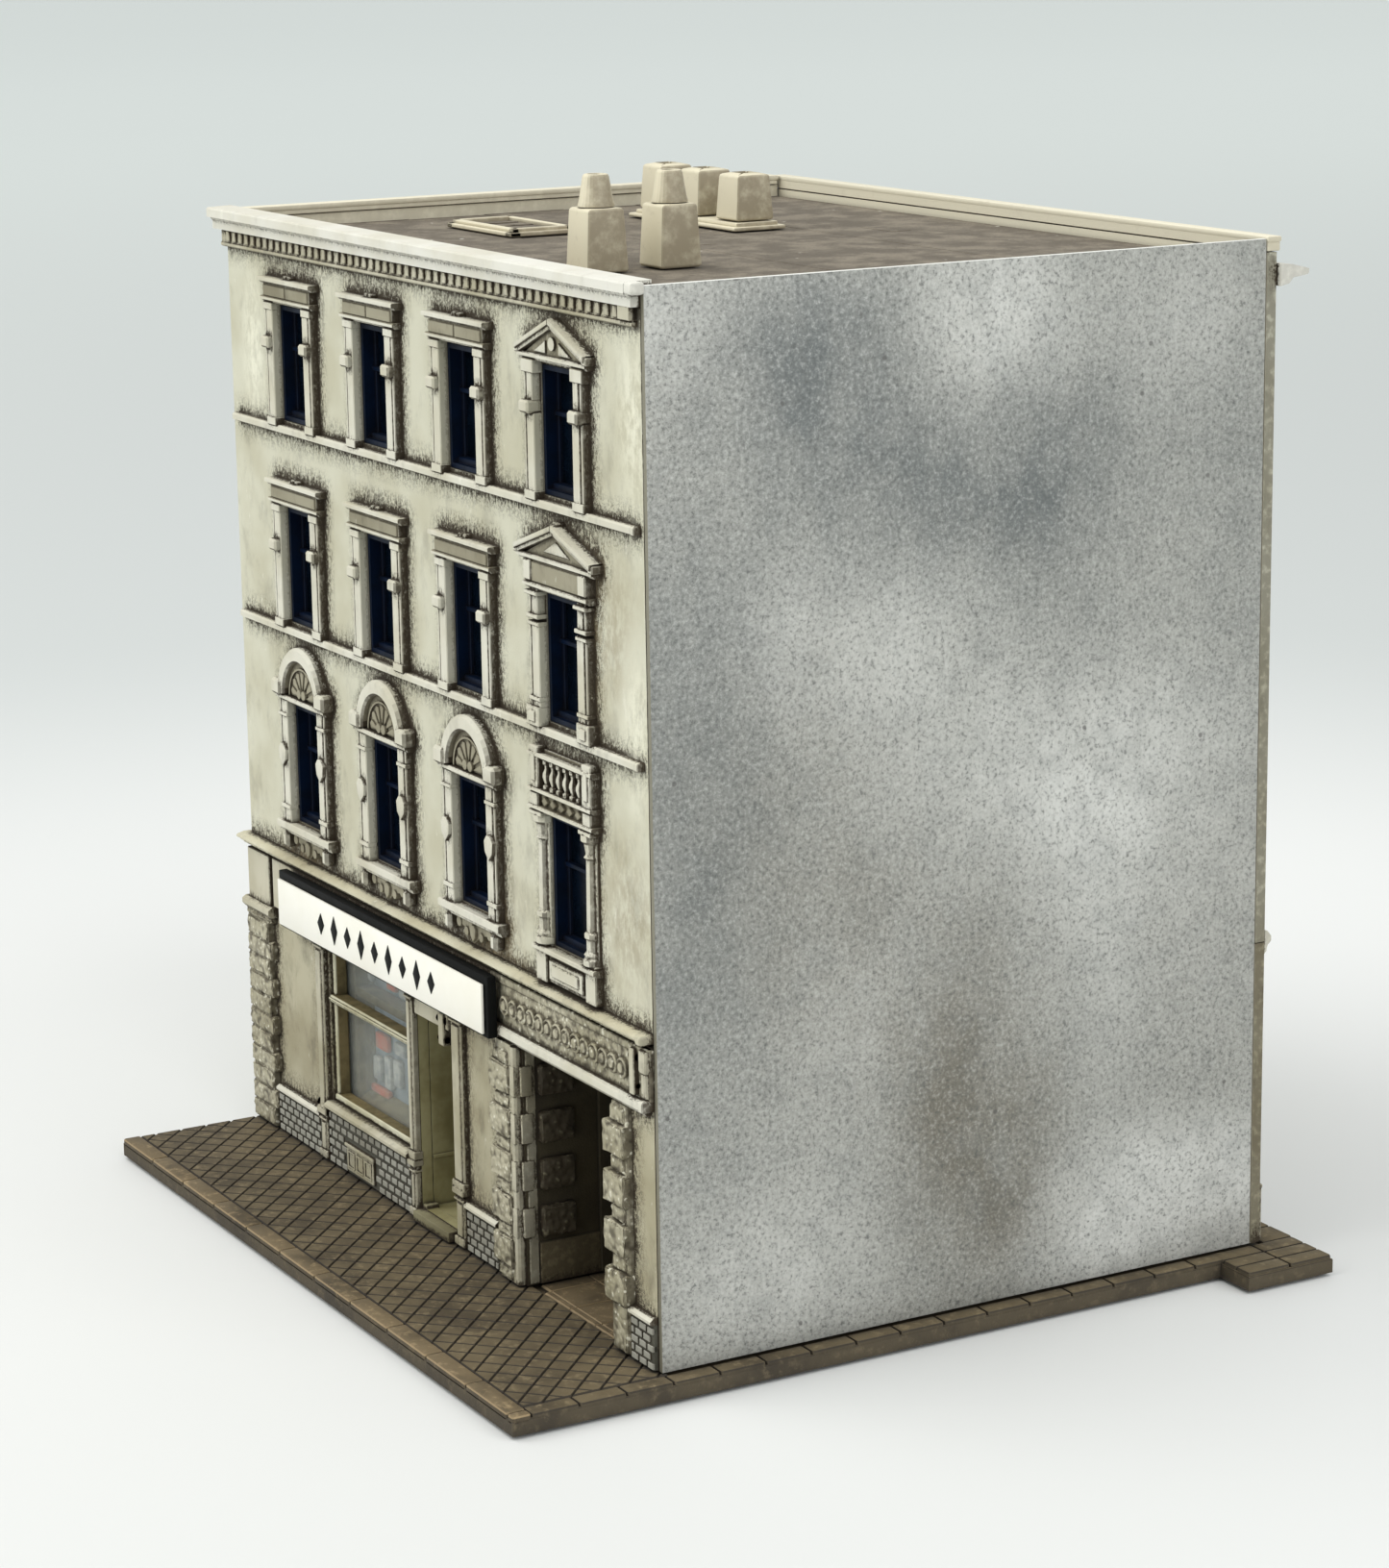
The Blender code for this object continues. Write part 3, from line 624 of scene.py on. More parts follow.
@dataclass(frozen=True)
class Paving(Finish):
    """Brown moulded pavement: worn tan tops, dark joints, and tan on the raised edges."""

    top: Colour = (100, 88, 64)
    worn: Colour = (134, 119, 90)
    dirt: Colour = (70, 60, 42)
    joint: Colour = (30, 24, 16)
    edge: Colour = (34, 27, 18)
    rim: float = 0.85

    def mix(self, graph: Graph) -> bpy.types.Material:
        """Mix the stone, its wear, its dark joints, and the darkening of upright faces and of the
        paving near walls.
        """
        graph.colour = graph.blend(
            graph.span(graph.noise(6.0, 4.0, 0.6), 0.35, 0.7), self.top, self.dirt)
        wear = graph.span(graph.noise(1.1, 5.0, 0.7, (1.0, 1.0, 1.0), 0.05), 0.5, 0.72, 0.0, 0.8)
        graph.coat(wear, self.worn)
        slope = graph.facing(Axis.Z)
        tilt = graph.maths("MULTIPLY", graph.span(slope, 0.95, 0.8), graph.span(slope, 0.1, 0.4))
        graph.coat(graph.maths("MULTIPLY", tilt, self.rim), self.edge)
        # Upright faces are painted darker in the joint colour.
        graph.coat(graph.span(slope, 0.3, 0.05, 0.0, 0.55), self.joint)
        graph.coat(graph.span(graph.crevice(0.45), 0.3, 0.62), self.joint)
        # Darker within 2.5 mm of walls and raised parts, in the joint colour.
        graph.coat(graph.span(graph.crevice(2.5), 0.25, 0.6, 0.0, 0.7), self.joint)
        graph.bump(graph.noise(0.35, 4.0, 0.7), 0.05)
        return graph.finish_with(0.72)


@dataclass(frozen=True)
class PlainPlastic(Finish):
    """Plastic or card of one colour, a little cloudy and lightly grained."""

    body: Colour = (128, 128, 128)
    shade: Colour = (118, 118, 118)
    roughness: float = 0.5
    grain: float = 0.01
    cloud: float = 3.0
    corner_shade: float = 0.0
    shine: float = 0.5

    def mix(self, graph: Graph) -> bpy.types.Material:
        """Mix the colour, its cloudiness and the painted shade in its corners."""
        graph.shader.inputs["Specular IOR Level"].default_value = self.shine
        clouds = graph.span(graph.noise(self.cloud, 4.0, 0.6), 0.35, 0.68)
        graph.colour = graph.blend(clouds, self.body, self.shade)
        if self.corner_shade:
            # Painted shade: corners and recesses are darkened within 0.8 mm.
            dirt = graph.span(graph.crevice(0.8), 0.15, 0.6, 0.0, self.corner_shade)
            graph.coat(dirt, (40, 33, 22))
        graph.bump(graph.noise(0.25, 3.0, 0.6), self.grain)
        return graph.finish_with(graph.span(clouds, 0.0, 1.0, self.roughness, self.roughness + 0.08))


@dataclass(frozen=True)
class Felt(Finish):
    """Roof felt: dusty brown-grey with a sandy grain and pale specks, darker within 2 mm of walls and
    corners.
    """

    body: Colour = (104, 96, 84)
    dust: Colour = (136, 127, 112)

    def mix(self, graph: Graph) -> bpy.types.Material:
        """Mix the felt, its dust, its grain and a few pale specks."""
        graph.colour = graph.blend(
            graph.span(graph.noise(5.0, 4.0, 0.65), 0.4, 0.65), self.body, self.dust)
        grain = graph.noise(0.3, 4.0, 0.75)
        graph.coat(graph.span(grain, 0.5, 0.7, 0.0, 0.6), (66, 58, 48))
        graph.coat(graph.span(graph.cells(4.4), 0.07, 0.03, 0.0, 0.9), (225, 222, 212))
        # Darker within 2 mm of walls and corners.
        graph.coat(graph.span(graph.crevice(2.0), 0.2, 0.6, 0.0, 0.75), (52, 44, 34))
        graph.bump(grain, 0.09)
        return graph.finish_with(0.88)


@dataclass(frozen=True)
class DustedShadedCream(Finish):
    """Cream plastic with brown soot dusted on and settled in corners, and painted shade in the soot's
    colour on faces that look right and in corners.
    """

    body: Colour = (222, 214, 188)
    soot: Colour = (122, 110, 88)
    amount: float = 0.85

    def mix(self, graph: Graph) -> bpy.types.Material:
        """Mix the cream, the soot and the painted shade, which lies thickest on faces that look right.
        """
        sway = graph.noise(1.6, 4.0, 0.65)
        # Painted shade: faces that look right are darkened, in patches; the dust mask below carries it
        # with real dust and the corners.
        right_side_shade = graph.span(graph.facing(Axis.X), 0.15, 0.85)
        dust = graph.maths("MULTIPLY", right_side_shade, graph.span(sway, 0.2, 0.6, 0.55, 1.0))
        dust = graph.maths("MAXIMUM", dust, graph.span(sway, 0.55, 0.8, 0.0, 0.3))
        dust = graph.maths("MAXIMUM", dust, graph.span(graph.crevice(0.9), 0.2, 0.6, 0.0, 0.9))
        graph.colour = graph.blend(graph.maths("MULTIPLY", dust, self.amount), self.body, self.soot)
        graph.bump(graph.noise(0.2, 3.0, 0.6), 0.015)
        return graph.finish_with(0.6)


@dataclass(frozen=True)
class ClearPlastic(Finish):
    """Thin clear plastic with a faint tint, see-through by its alpha."""

    tint: Colour = (214, 220, 214)
    cover: float = 0.16

    def mix(self, graph: Graph) -> bpy.types.Material:
        """Mix the tint, faint smears and the clearness."""
        smear = graph.span(graph.noise(5.0, 2.0), 0.4, 0.75)
        graph.shader.inputs["Alpha"].default_value = self.cover
        graph.colour = self.tint
        return graph.finish_with(graph.span(smear, 0.0, 1.0, 0.05, 0.14))


PLASTER = WashedPlastic("ivory_plaster")
PARTY = WashedPlastic("party_plaster", side_and_under_shade=0.0, film=0.4)
TRIM = WashedPlastic(
    "drybrushed_trim", body=(216, 213, 198), shade=(198, 193, 172), halo=0.9, side_and_under_shade=0.92,
    film=0.22, grain=0.02)
# Reveal faces: less wash, and little of the painted shade on side faces.
REVEAL = WashedPlastic(
    "clean_reveal", body=(206, 203, 186), shade=(190, 186, 164), halo=0.5, side_and_under_shade=0.12,
    halo_strength=0.5, film=0.15)
# Sunk fields: darker paint for more of the wash and for painted shade of the recess.
SHADED_TRIM = WashedPlastic(
    "shaded_trim", body=(156, 150, 128), shade=(128, 121, 98), halo=0.5, halo_strength=0.55, film=0.4,
    side_and_under_shade=0.5, grain=0.02)
FOOT = WashedPlastic("passage_foot", body=(150, 138, 106), shade=(118, 107, 76), halo=1.2)
GRIMY = WashedPlastic(
    "grimy_plaster", body=(184, 178, 152), shade=(158, 150, 122), halo=2.6, film=0.45)
GRIMY_TRIM = WashedPlastic(
    "grimy_trim", body=(196, 191, 170), shade=(166, 159, 132), halo=0.9, film=0.4, side_and_under_shade=0.5)
ROCK = Stone(
    "rock_faced_stone", body=(182, 176, 152), shade=(150, 143, 116), halo=0.6, halo_strength=0.7)
DARK_ROCK = Stone("shaded_stone", body=(92, 86, 66), shade=(66, 60, 44), film=0.7, peak=(112, 106, 84))
BRICK = WashedPlastic(
    "pale_brick", body=(166, 165, 154), shade=(138, 135, 122), halo=0.3, film=0.3, side_and_under_shade=0.5,
    streaks=False)
MORTAR = PlainPlastic("sooty_mortar", body=(84, 82, 72), shade=(62, 60, 50), roughness=0.8)
CROWN = WashedPlastic(
    "cornice_white", body=(226, 224, 214), shade=(212, 208, 192), halo=0.4, side_and_under_shade=0.35, film=0.1,
    grain=0.012)
LEDGE = WashedPlastic(
    "ledge_cream", body=(208, 203, 178), shade=(180, 172, 142), halo=0.9, side_and_under_shade=0.5, film=0.35)
COPING = DustedShadedCream("coping_cream", body=(226, 220, 198), amount=0.45)
CHIMNEY = DustedShadedCream("chimney_cream")
SETTS = Paving("brown_paving")
KERB = Paving("kerb_stone", top=(112, 97, 71), worn=(156, 136, 102), edge=(164, 142, 106), rim=0.7)
FELT = Felt("roof_felt")
# Soot and painted shade for the insides of flues and pots.
SOOT_AND_SHADE = PlainPlastic("flue_soot_and_shade", body=(46, 40, 32), shade=(30, 26, 20), roughness=0.9)
NAVY = PlainPlastic(
    "window_navy", body=(5, 21, 44), shade=(3, 14, 30), roughness=0.45, corner_shade=0.35, shine=0.15)
NIGHT = PlainPlastic(
    "dark_pane", body=(3, 9, 16), shade=(4, 14, 27), roughness=0.22, grain=0.004, shine=0.12)
OLIVE = WashedPlastic(
    "frame_olive", body=(210, 207, 182), shade=(180, 174, 140), halo=0.5, side_and_under_shade=0.6, film=0.2)
DOOR_OLIVE = PlainPlastic(
    "door_olive", body=(164, 158, 118), shade=(132, 125, 84), roughness=0.6, cloud=5.0,
    corner_shade=0.7)
STEP = WashedPlastic("step_stone", body=(146, 141, 110), shade=(110, 104, 76), halo=0.8)
WOOD = PlainPlastic(
    "door_wood", body=(84, 58, 38), shade=(60, 41, 27), roughness=0.5, corner_shade=0.6)
# Dark brown for the gateway passage: painted shade of its dim inside.
PASSAGE_SHADE = PlainPlastic(
    "passage_brown", body=(72, 64, 44), shade=(46, 40, 27), roughness=0.8, cloud=9.0, grain=0.04,
    corner_shade=0.9)
SIGN_WHITE = PlainPlastic(
    "sign_white", body=(248, 246, 236), shade=(242, 239, 226), roughness=0.4, cloud=12.0, grain=0.004)
SIGN_BLACK = PlainPlastic("sign_black", body=(7, 8, 8), shade=(11, 13, 12), roughness=0.6, shine=0.15)
GLASS = ClearPlastic("shop_glass")
FILM = ClearPlastic("window_film", tint=(30, 34, 44), cover=0.85)


def goods(name: str, body: Colour, shade: Colour) -> PlainPlastic:
    """Give a finish for printed goods, blurred as print behind old plastic is."""
    return PlainPlastic(name, body=body, shade=shade, roughness=0.55, cloud=1.6, corner_shade=0.2)


BLUE_GREY = goods("poster_blue_grey", (150, 164, 172), (124, 140, 150))
WARM_RED = goods("poster_warm_red", (206, 92, 58), (176, 120, 92))
PALE_GREY = goods("goods_pale", (190, 192, 184), (140, 148, 150))
SHOP_BROWN = goods("shop_floor_brown", (122, 108, 72), (92, 82, 52))


def mirrored(points: Sequence[Flat], centre: float) -> list[Flat]:
    """Give half an outline, which starts on a centre line, with its other half added."""
    return list(points) + [(2 * centre - x, z) for x, z in reversed(points[1:])]


@dataclass
class Opening:
    """A window opening in the street front."""

    floor: int
    bay: int
    left: float
    right: float
    low: float
    high: float

    @property
    def centre(self) -> float:
        """The middle of the opening."""
        return (self.left + self.right) / 2

    @property
    def edges(self) -> Hole:
        """The opening's four edges."""
        return (self.left, self.right, self.low, self.high)


@dataclass
class UpperFront:
    """The upper street front: wall, string courses and the five kinds of window surround."""

    skin: float = 1.2
    inner: float = 3.75
    outer: float = 5.7
    stand: float = 0.85
    glue: float = 0.1
    floors: tuple[int, ...] = (1, 2, 3)
    bays: tuple[int, ...] = (1, 2, 3, 4)
    openings: dict[tuple[int, int], Opening] = field(default_factory=dict)

    def __post_init__(self) -> None:
        """Read the openings' places off the window inserts."""
        for floor in self.floors:
            for bay in self.bays:
                low, high = bench.box(f"window_insert_floor{floor}_bay{bay}")
                self.openings[floor, bay] = Opening(
                    floor, bay, low.x - self.glue, high.x + self.glue,
                    low.z - self.glue, high.z + self.glue)

    def wall(self) -> Piece:
        """Make the plaster wall with its twelve openings."""
        right = bench.box("right_party_wall")[1].x
        low = bench.box("ground_cornice")[1].z + self.glue
        high = bench.box("roof_plate")[1].z
        bench.begin("front_plaster")
        holes = [hole.edges for hole in self.openings.values()]
        bench.wall((0, 0, low), (right, self.skin, high), holes)
        bench.paint(1, lambda at, normal: abs(normal.y) < 0.5 and 0.5 < at.x < right - 0.5
                       and low + 1.0 < at.z < high - 1.0)
        plaster = FrontPlaster("front_plaster", corner=tuple(bench.corner))
        return bench.end([plaster, REVEAL], "ivory_plaster", ["front_wall_upper"])

    def string_courses(self) -> None:
        """Make the two ledges between the floors, each with a rounded right end."""
        right = bench.box("right_party_wall")[1].x - 0.5
        for floor in self.floors[1:]:
            top = self.openings[floor, 1].low - 0.4
            bench.begin(f"string_course_floor{floor}")
            profile = [(SUNK, top - 0.9), (-0.35, top - 0.9), (-0.62, top - 0.72), (-0.8, top - 0.7),
                       (-0.8, top - 0.2), (-0.66, top), (SUNK, top)]
            bench.outline(profile, 1.3, right - 0.6, Axis.X)
            bench.relief(right - 0.7, right, top - 0.88, top + 0.02, 0.84, 0.25, 3)
            bench.end([TRIM], "ivory_plaster")

    def bar(self, hole: Opening, low: float, high: float, inner: float, outer: float, stand: float,
            soft: float = 0.07) -> None:
        """Add a pair of upright blocks beside an opening."""
        for side in (-1, 1):
            edges = sorted((hole.centre + side * inner, hole.centre + side * outer))
            bench.relief(edges[0], edges[1], low, high, stand, soft)

    def band(self, hole: Opening, low: float, high: float, inner: float, outer: float,
             stand: float) -> None:
        """Add a pair of blocks that stand past the pilasters by so much on each side."""
        self.bar(hole, low, high, self.inner - inner, self.outer + outer, self.stand + stand)

    def ledge(self, hole: Opening, half: float, low: float, high: float, stand: float) -> None:
        """Add a moulded ledge across an opening, stepped back at its underside."""
        step = (high - low) * 0.4
        profile = [(SUNK, low), (-stand * 0.66, low), (-stand * 0.8, low + step),
                   (-stand, low + step), (-stand, high - 0.1), (-stand + 0.12, high), (SUNK, high)]
        bench.outline(profile, hole.centre - half, hole.centre + half, Axis.X)

    def shaft(self, hole: Opening, low: float, high: float, inner: float = 0.0, outer: float = 0.0,
              slit: float = 0.17) -> None:
        """Add the two pilasters of an opening: a flat face and a narrow strip past a dark slit."""
        inner, outer = self.inner + inner, self.outer - outer
        split = outer - 0.46
        self.bar(hole, low + 0.05, high - 0.05, inner + 0.07, outer - 0.07, self.stand - 0.2)
        self.bar(hole, low, high, inner, split - slit / 2, self.stand, 0.09)
        self.bar(hole, low, high, split + slit / 2, outer, self.stand - 0.04, 0.09)

    def ears(self, hole: Opening, low: float) -> None:
        """Add the square blocks that sit on the pilasters."""
        middle = (self.inner + self.outer) / 2
        self.bar(hole, low, low + 1.2, middle - 0.85, middle + 0.95, self.stand + 0.62, 0.2)

    def curl(self, x: float, z: float, size: float, stand: float, steps: int = 10) -> None:
        """Add a small round boss: a scroll's coil or a rosette."""
        bench.turn([(x, -stand, z), (x + size, -stand, z), (x + size, SUNK, z),
                         (x, SUNK, z)], (x, 0, z), Axis.Y, math.tau, steps)

    def frieze(self, hole: Opening, low: float, high: float, half: float, stand: float,
               panels: int) -> None:
        """Add the band over a lintel with its sunk panels."""
        bench.relief(hole.centre - half, hole.centre + half, low, high, stand, 0.06)
        gap = 0.2
        width = (2 * half - gap) / panels
        for panel in range(panels):
            left = hole.centre - half + gap + panel * width
            bench.relief(left, left + width - gap, low + 0.15, high - 0.15, stand + 0.14, 0.08)
        self.shade(hole.centre, half - 0.1, low, high)

    def shade(self, x: float, half: float, low: float, high: float) -> None:
        """Mark the faces of a sunk field for the darker shaded trim: more of the wash, and painted
        shade.
        """
        bench.paint(
            2, lambda at, normal: abs(at.x - x) < half and low < at.z < high and at.y > -1.05
            and normal.y < 0.5)

    def close(self, hole: Opening) -> Piece:
        """Finish a surround: its faces towards the opening get little wash and little painted side
        shade, the rest gets the full wash and painted side shade.
        """
        bench.paint(
            1, lambda at, normal: normal.x * (at.x - hole.centre) < -0.5
            and abs(at.x - hole.centre) < self.inner + 0.3 and hole.low < at.z < hole.high)
        return bench.end([TRIM, REVEAL, SHADED_TRIM], "ivory_plaster")

    def plain(self, floor: int) -> Piece:
        """Make the surround of an ordinary window: pilasters, ears, frieze and hood."""
        hole = self.openings[floor, 1]
        low, high = hole.low, hole.high
        bench.begin(f"window_surround_floor{floor}_bay1")
        self.shaft(hole, low - 0.5, high + 0.3, slit=0.06)
        self.band(hole, low - 0.5, low + 0.35, 0.1, 0.1, 0.1)
        self.ears(hole, low + 7.6)
        self.band(hole, high - 0.6, high + 0.2, 0.08, 0.12, 0.08)
        self.ledge(hole, 6.2, high + 0.2, high + 0.8, 1.05)
        self.frieze(hole, high + 0.7, high + 2.15, 5.75, 0.85, 2 if floor == 3 else 1)
        self.ledge(hole, 6.5, high + 2.1, high + 2.8, 1.25)
        for side in (-1, 1):
            self.curl(hole.centre + side * 0.5, high + 2.85, 0.36, 0.75)
        return self.close(hole)

    def gable(self, hole: Opening, low: float, half: float, rise: float, stand: float) -> None:
        """Add a pediment: sunk field, base ledge and two raking mouldings."""
        x = hole.centre
        bench.outline([(x - half + 0.4, low + 0.3), (x + half - 0.4, low + 0.3), (x, low + rise - 0.2)],
                      SUNK, -stand * 0.62)
        self.shade(x, half, low, low + rise)
        self.ledge(hole, half, low, low + 0.65, stand)
        slope = (rise - 0.9) / half
        for side in (-1, 1):
            for thick, out, lift in ((1.0, stand + 0.05, 0.0), (0.55, stand + 0.3, 0.42)):
                foot, tip = low + 0.55 + lift, low + 0.55 + lift + slope * half
                rake = [
                    (x + side * (half + 0.1), foot - 0.15),
                    (x + side * (half + 0.1), foot + thick - 0.15), (x, tip + thick), (x, tip)]
                bench.outline(rake, SUNK, -out, soft=0.14)
            end = x + side * half
            bench.relief(end - 0.5, end + 0.35, low + 0.5, low + 1.25, stand + 0.1, 0.12)

    def gabled(self) -> Piece:
        """Make the surround of the last window of the top floor."""
        hole = self.openings[3, 4]
        low, high = hole.low, hole.high
        x = hole.centre
        bench.begin("window_surround_floor3_bay4")
        self.shaft(hole, low - 0.5, low + 7.5)
        self.shaft(hole, low + 8.6, high + 0.2, 0.25, 0.1)
        self.band(hole, low - 0.5, low + 0.35, 0.1, 0.1, 0.1)
        self.ears(hole, low + 7.5)
        self.band(hole, high - 0.9, high + 0.35, 0.1, 0.25, 0.1)
        self.gable(hole, high + 0.3, 6.6, 3.5, 0.95)
        self.curl(x, high + 2.1, 0.62, 0.85, 12)
        for side in (-1, 1):
            foot = high + 1.15
            bench.outline(
                [(x + side * 1.3, foot), (x + side * 3.6, foot), (x + side * 1.3, foot + 1.15)], SUNK,
                -0.8, soft=0.06)
        return self.close(hole)

    def great(self) -> Piece:
        """Make the surround of the last window of the second floor, the richest one."""
        hole = self.openings[2, 4]
        low, high = hole.low, hole.high
        x = hole.centre
        bench.begin("window_surround_floor2_bay4")
        self.bar(hole, low - 0.5, low + 1.4, 3.75, 6.2, 1.1, 0.1)
        self.bar(hole, low - 0.1, low + 1.0, 4.3, 5.7, 1.22, 0.1)
        self.shaft(hole, low + 1.3, low + 9.4)
        for height, grow in ((1.9, 0.12), (9.0, 0.1), (9.7, 0.2), (11.9, 0.3)):
            self.band(hole, low + height, low + height + 0.4, 0.08, grow, grow)
        self.shaft(hole, low + 9.6, high + 0.3, 0.2, 0.1)
        self.bar(hole, high + 0.9, high + 2.9, 4.6, 6.1, 1.15, 0.15)
        self.ledge(hole, 6.3, high + 0.2, high + 0.8, 1.15)
        self.frieze(hole, high + 0.75, high + 2.9, 6.05, 0.85, 1)
        self.gable(hole, high + 2.8, 7.4, 3.3, 1.15)
        foot = high + 3.9
        bench.outline([(x - 2.6, foot), (x + 2.6, foot), (x, foot + 1.25)], SUNK, -0.85, soft=0.08)
        self.curl(x, high + 6.5, 0.5, 1.0)
        return self.close(hole)

    def shield(self, x: float, z: float, size: float, stand: float) -> None:
        """Add a small cartouche with a pointed foot."""
        half = [(x, z - size), (x + size * 0.62, z - size * 0.35), (x + size * 0.75, z + size * 0.5),
                (x + size * 0.3, z + size)]
        bench.outline(mirrored(half, x), SUNK, -stand, soft=0.12)

    def arched(self) -> Piece:
        """Make the surround of a first floor window: round hood, shell, sill and apron."""
        hole = self.openings[1, 1]
        low, high = hole.low, hole.high
        x = hole.centre
        spring = high + 1.0
        bench.begin("window_surround_floor1_bay1")
        self.shaft(hole, low - 0.2, high + 0.3)
        self.band(hole, low + 1.3, low + 1.8, 0.05, 0.15, 0.12)
        self.band(hole, high - 1.5, high - 1.1, 0.05, 0.15, 0.12)
        for side in (-1, 1):
            self.shield(x + side * 4.75, low + 7.2, 1.25, self.stand + 0.35)
        self.ledge(hole, 6.1, high + 0.2, high + 0.85, 1.1)
        for inner, outer, stand in ((3.95, 5.5, 1.2), (3.1, 3.4, 0.75)):
            ring = [(x + inner, SUNK, spring), (x + inner, -stand + 0.25, spring),
                    (x + inner + 0.2, -stand, spring), (x + outer - 0.3, -stand, spring),
                    (x + outer, -stand + 0.35, spring), (x + outer, SUNK, spring)]
            bench.turn(ring, (x, 0, spring), Axis.Y, math.pi, 20, closed=True)
        field_edge = [(x + 4.2 * math.cos(a), spring + 4.2 * math.sin(a))
                      for a in (math.pi * step / 12 for step in range(13))]
        bench.outline(field_edge, SUNK, -0.5)
        for petal in range(7):
            a = math.pi * (petal + 0.5) / 7
            side = 0.16
            tip = [(x + 2.7 * math.cos(a - side), spring + 2.7 * math.sin(a - side)),
                   (x + 2.95 * math.cos(a), spring + 2.95 * math.sin(a)),
                   (x + 2.7 * math.cos(a + side), spring + 2.7 * math.sin(a + side)),
                   (x + 0.9 * math.cos(a), spring + 0.9 * math.sin(a))]
            bench.outline(tip, SUNK, -0.68, soft=0.06)
        for knob in (-1, 1):
            self.curl(x + knob * 0.55, spring + 0.5, 0.5, 0.85)
        self.shade(x, 3.9, spring - 0.1, spring + 3.9)
        self.bar(hole, high + 0.75, high + 2.5, 4.3, 6.6, 1.45, 0.3)
        self.ledge(hole, 6.6, low - 1.3, low - 0.1, 1.25)
        for side in (-1, 1):
            self.curl(x + side * 3.3, low - 1.9, 0.5, 0.6)
            self.curl(x + side * 1.6, low - 2.5, 0.45, 0.65)
        apron = [(x, low - 3.4), (x + 1.2, low - 2.5), (x + 3.4, low - 2.0), (x + 4.6, low - 1.2)]
        bench.outline(mirrored(apron, x), SUNK, -0.5, soft=0.08)
        self.shield(x, low - 2.4, 0.85, 0.8)
        self.shade(x, 6.0, low - 3.5, low - 1.25)
        self.bar(hole, low - 3.0, low - 1.2, 4.4, 5.6, 1.15, 0.35)
        return self.close(hole)

    def column(self, x: float, low: float, high: float, radius: float) -> None:
        """Add a round half-column with rings at its foot and a capital."""
        rings = [(0.0, 0.0), (1.15, 0.0), (1.15, 0.5), (0.95, 0.7), (1.05, 1.0), (0.8, 1.3), (0.8, 2.4),
                 (0.98, 2.6), (0.98, 3.0), (0.75, 3.2)]
        tall = high - low
        crown = [(0.68, tall - 2.4), (0.9, tall - 2.2), (0.7, tall - 1.9), (0.85, tall - 0.9),
                 (1.15, tall - 0.6), (1.15, tall), (0.0, tall)]
        profile = [(x + radius * out, -0.1, low + up) for out, up in rings + crown]
        bench.turn(profile, (x, -0.1, low), Axis.Z, math.tau, 12)

    def balustrade(self) -> Piece:
        """Make the surround of the last first floor window, under its balustrade."""
        hole = self.openings[1, 4]
        x = hole.centre
        low, high = hole.low, hole.high
        bench.begin("window_surround_floor1_bay4")
        self.bar(hole, low - 0.2, high - 0.3, 3.72, 5.8, 0.3)
        for side in (-1, 1):
            self.column(x + side * 4.75, low + 0.2, high - 0.3, 1.0)
        self.bar(hole, low - 3.6, low + 0.25, 3.9, 6.0, 0.8, 0.12)
        self.bar(hole, high - 0.35, high + 0.1, 3.72, 6.15, 1.15)
        self.ledge(hole, 6.4, high + 0.05, high + 0.6, 1.15)
        self.bar(hole, high + 0.5, high + 1.9, 4.4, 6.1, 1.05, 0.15)
        bench.relief(x - 6.0, x + 6.0, high + 0.5, high + 1.9, 0.6, 0.05)
        for link in range(5):
            centre = x - 3.3 + link * 1.65
            ring = [(centre, high + 0.75), (centre + 0.6, high + 1.2), (centre, high + 1.65),
                    (centre - 0.6, high + 1.2)]
            bench.outline(ring, SUNK, -0.92, soft=0.08)
        self.shade(x, 4.3, high + 0.6, high + 1.8)
        self.ledge(hole, 6.3, high + 1.8, high + 2.3, 1.2)
        bench.relief(x - 5.9, x + 5.9, high + 2.2, high + 6.0, 0.3, 0.05)
        self.shade(x, 6.0, high + 2.4, high + 5.8)
        self.bar(hole, high + 2.2, high + 6.3, 4.3, 6.1, 1.0, 0.12)
        self.bar(hole, high + 2.9, high + 5.6, 4.75, 5.65, 1.12, 0.1)
        bulb = [(0.0, 0.0), (0.42, 0.0), (0.42, 0.35), (0.22, 0.5), (0.45, 1.15), (0.42, 1.5),
                (0.2, 2.0), (0.24, 2.3), (0.4, 2.45), (0.4, 2.8), (0.0, 2.8)]
        for baluster in range(6):
            centre = x - 3.3 + baluster * 1.32
            bench.turn([(centre + out, -0.55, high + 2.35 + up) for out, up in bulb],
                       (centre, -0.55, high), Axis.Z, math.tau, 8)
        self.ledge(hole, 6.3, high + 5.1, high + 5.7, 1.1)
        self.ledge(hole, 6.2, low - 0.75, low - 0.05, 1.15)
        bench.relief(x - 5.9, x + 5.9, low - 3.5, low - 0.6, 0.45, 0.06)
        bench.relief(x - 3.4, x + 3.4, low - 3.1, low - 1.1, 0.8, 0.12)
        bench.relief(x - 2.7, x + 2.7, low - 2.7, low - 1.5, 0.95, 0.12)
        return self.close(hole)

    def build(self) -> None:
        """Make the upper front, each kind of surround once, and copy what repeats."""
        self.wall()
        self.string_courses()
        models = {1: self.arched(), 2: self.plain(2), 3: self.plain(3)}
        for floor, model in models.items():
            for bay in self.bays[1:-1]:
                shift = self.openings[floor, bay].centre - self.openings[floor, 1].centre
                bench.copy(
                    model, f"window_surround_floor{floor}_bay{bay}", (shift, 0, 0), "ivory_plaster")
        self.gabled()
        self.great()
        self.balustrade()


